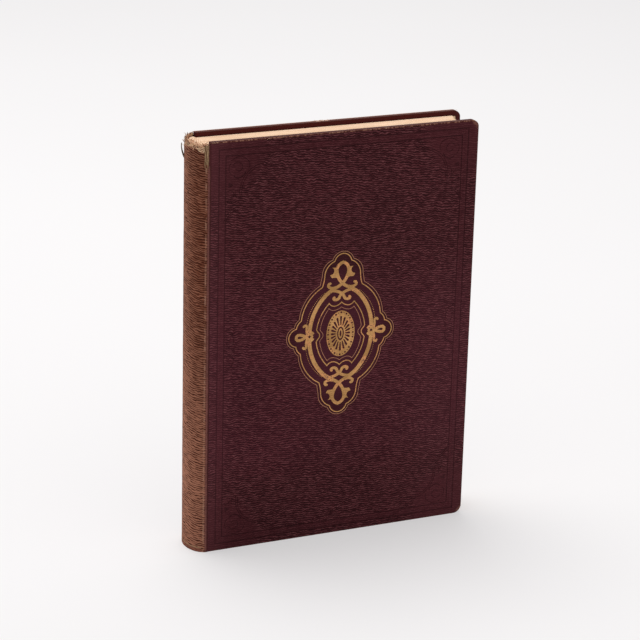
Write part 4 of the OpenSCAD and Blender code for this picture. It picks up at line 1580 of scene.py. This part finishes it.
def make_floor(stage):
    """The pale floor."""
    size = stage.floor_size / 2
    made, tree, shader, place = new_material("pale floor", 0.9, 0.0)
    tone = smooth_step(tree, cloudy(tree, place, 3.0, 2.0), 0.3, 0.7)
    paler = shade(stage.floor_colour, 1.01)
    colour = blend_colours(tree, tone, stage.floor_colour, paler)
    tree.links.new(colour, shader.inputs["Base Color"])
    # The floor glows a little to the camera, so that it is as bright as the room behind it
    glow = add(tree, "ShaderNodeEmission", {"Color": ROOM_COLOUR, "Strength": 1.0})
    mixed = add(tree, "ShaderNodeMixShader", {
        "Fac": times(tree, seen_directly(tree), 0.42),
        1: shader.outputs[0], 2: glow.outputs[0],
    })
    tree.links.new(mixed.outputs[0], tree.nodes["Material Output"].inputs["Surface"])
    verts = [(-size, -size, 0), (size, -size, 0), (size, size, 0), (-size, size, 0)]
    floor = new_piece("floor", verts, [(0, 1, 2, 3)], made)


def make_world(scene, stage):
    """Even light all round, and a pale background to what the camera sees."""
    world = bpy.data.worlds.new("studio")
    scene.world = world
    world.use_nodes = True
    tree = world.node_tree
    back = tree.nodes["Background"]
    seen = seen_directly(tree)
    more = ROOM_BRIGHTNESS - stage.room_light
    strength = times_plus(tree, seen, more, stage.room_light)
    tree.links.new(strength, back.inputs["Strength"])
    back.inputs["Color"].default_value = ROOM_COLOUR


def make_lamp(stage):
    """One large, soft lamp above the book and a little behind it."""
    data = bpy.data.lights.new("overhead lamp", "AREA")
    data.energy = stage.lamp_power
    data.shape, data.size = "DISK", 1.0
    made = new_object("overhead lamp", data)
    place, target = Vector((-0.15, 0.45, 1.6)), Vector((0, 0, 0.1))
    made.location = place
    made.rotation_euler = (target - place).to_track_quat("-Z", "Y").to_euler()


def make_camera(scene):
    """The camera at the photograph's viewing angle, with the book upright in its frame."""
    turn, tilt, roll = math.radians(-24.16), math.radians(19.03), math.radians(1.49)
    place = Vector((-0.41579, -0.92064, 0.44839))
    focal_pixels, picture_pixels, sensor = 2372.16, 640, 36.0
    back = Vector((math.sin(turn), -math.cos(turn), 0)) * math.cos(tilt)
    back.z = math.sin(tilt)
    right = Vector((math.cos(turn), math.sin(turn), 0))
    up = back.cross(right)
    side = right * math.cos(roll) + up * math.sin(roll)
    top = up * math.cos(roll) - right * math.sin(roll)
    data = bpy.data.cameras.new("camera")
    data.sensor_width = sensor
    data.lens = focal_pixels / picture_pixels * sensor
    data.clip_start, data.clip_end = 0.05, 100
    made = new_object("camera", data)
    made.matrix_world = Matrix.Translation(place) @ Matrix(
        ((side.x, top.x, back.x), (side.y, top.y, back.y), (side.z, top.z, back.z))
    ).to_4x4()
    scene.camera = made


class BOOK_PT_panel(bpy.types.Panel):
    """Pieces of the book, in the order they are made"""

    bl_idname = "BOOK_PT_panel"
    bl_label = "Old Hardback"
    bl_space_type = "VIEW_3D"
    bl_region_type = "UI"
    bl_category = "Book"

    def draw(self, context):
        for operator in OPERATORS:
            self.layout.operator(operator.bl_idname)
        for group in GROUPS:
            box = self.layout.box()
            held = getattr(context.scene, group)
            for name in GROUPS[group].__annotations__:
                box.prop(held, name)


GROUPS = {
    "book_cloth": BookClothSettings, "book_spine": BookSpineSettings,
    "book_paper": BookPaperSettings, "book_gold": BookGoldSettings,
    "book_stage": BookStageSettings,
}
OPERATORS = (
    BOOK_OT_covers, BOOK_OT_gilding, BOOK_OT_spine, BOOK_OT_joints, BOOK_OT_pages,
    BOOK_OT_inside, BOOK_OT_stage,
)
CLASSES = (*GROUPS.values(), *OPERATORS, BOOK_PT_panel)


def register():
    for held in CLASSES:
        bpy.utils.register_class(held)
    for name, group in GROUPS.items():
        setattr(bpy.types.Scene, name, bpy.props.PointerProperty(type=group))


def unregister():
    for name in GROUPS:
        delattr(bpy.types.Scene, name)
    for held in reversed(CLASSES):
        bpy.utils.unregister_class(held)


def main():
    register()
    bpy.ops.book.stage()
    bpy.ops.book.covers()
    bpy.ops.book.gilding()
    bpy.ops.book.spine()
    bpy.ops.book.joints()
    bpy.ops.book.pages()
    bpy.ops.book.inside()


if __name__ == "__main__":
    main()
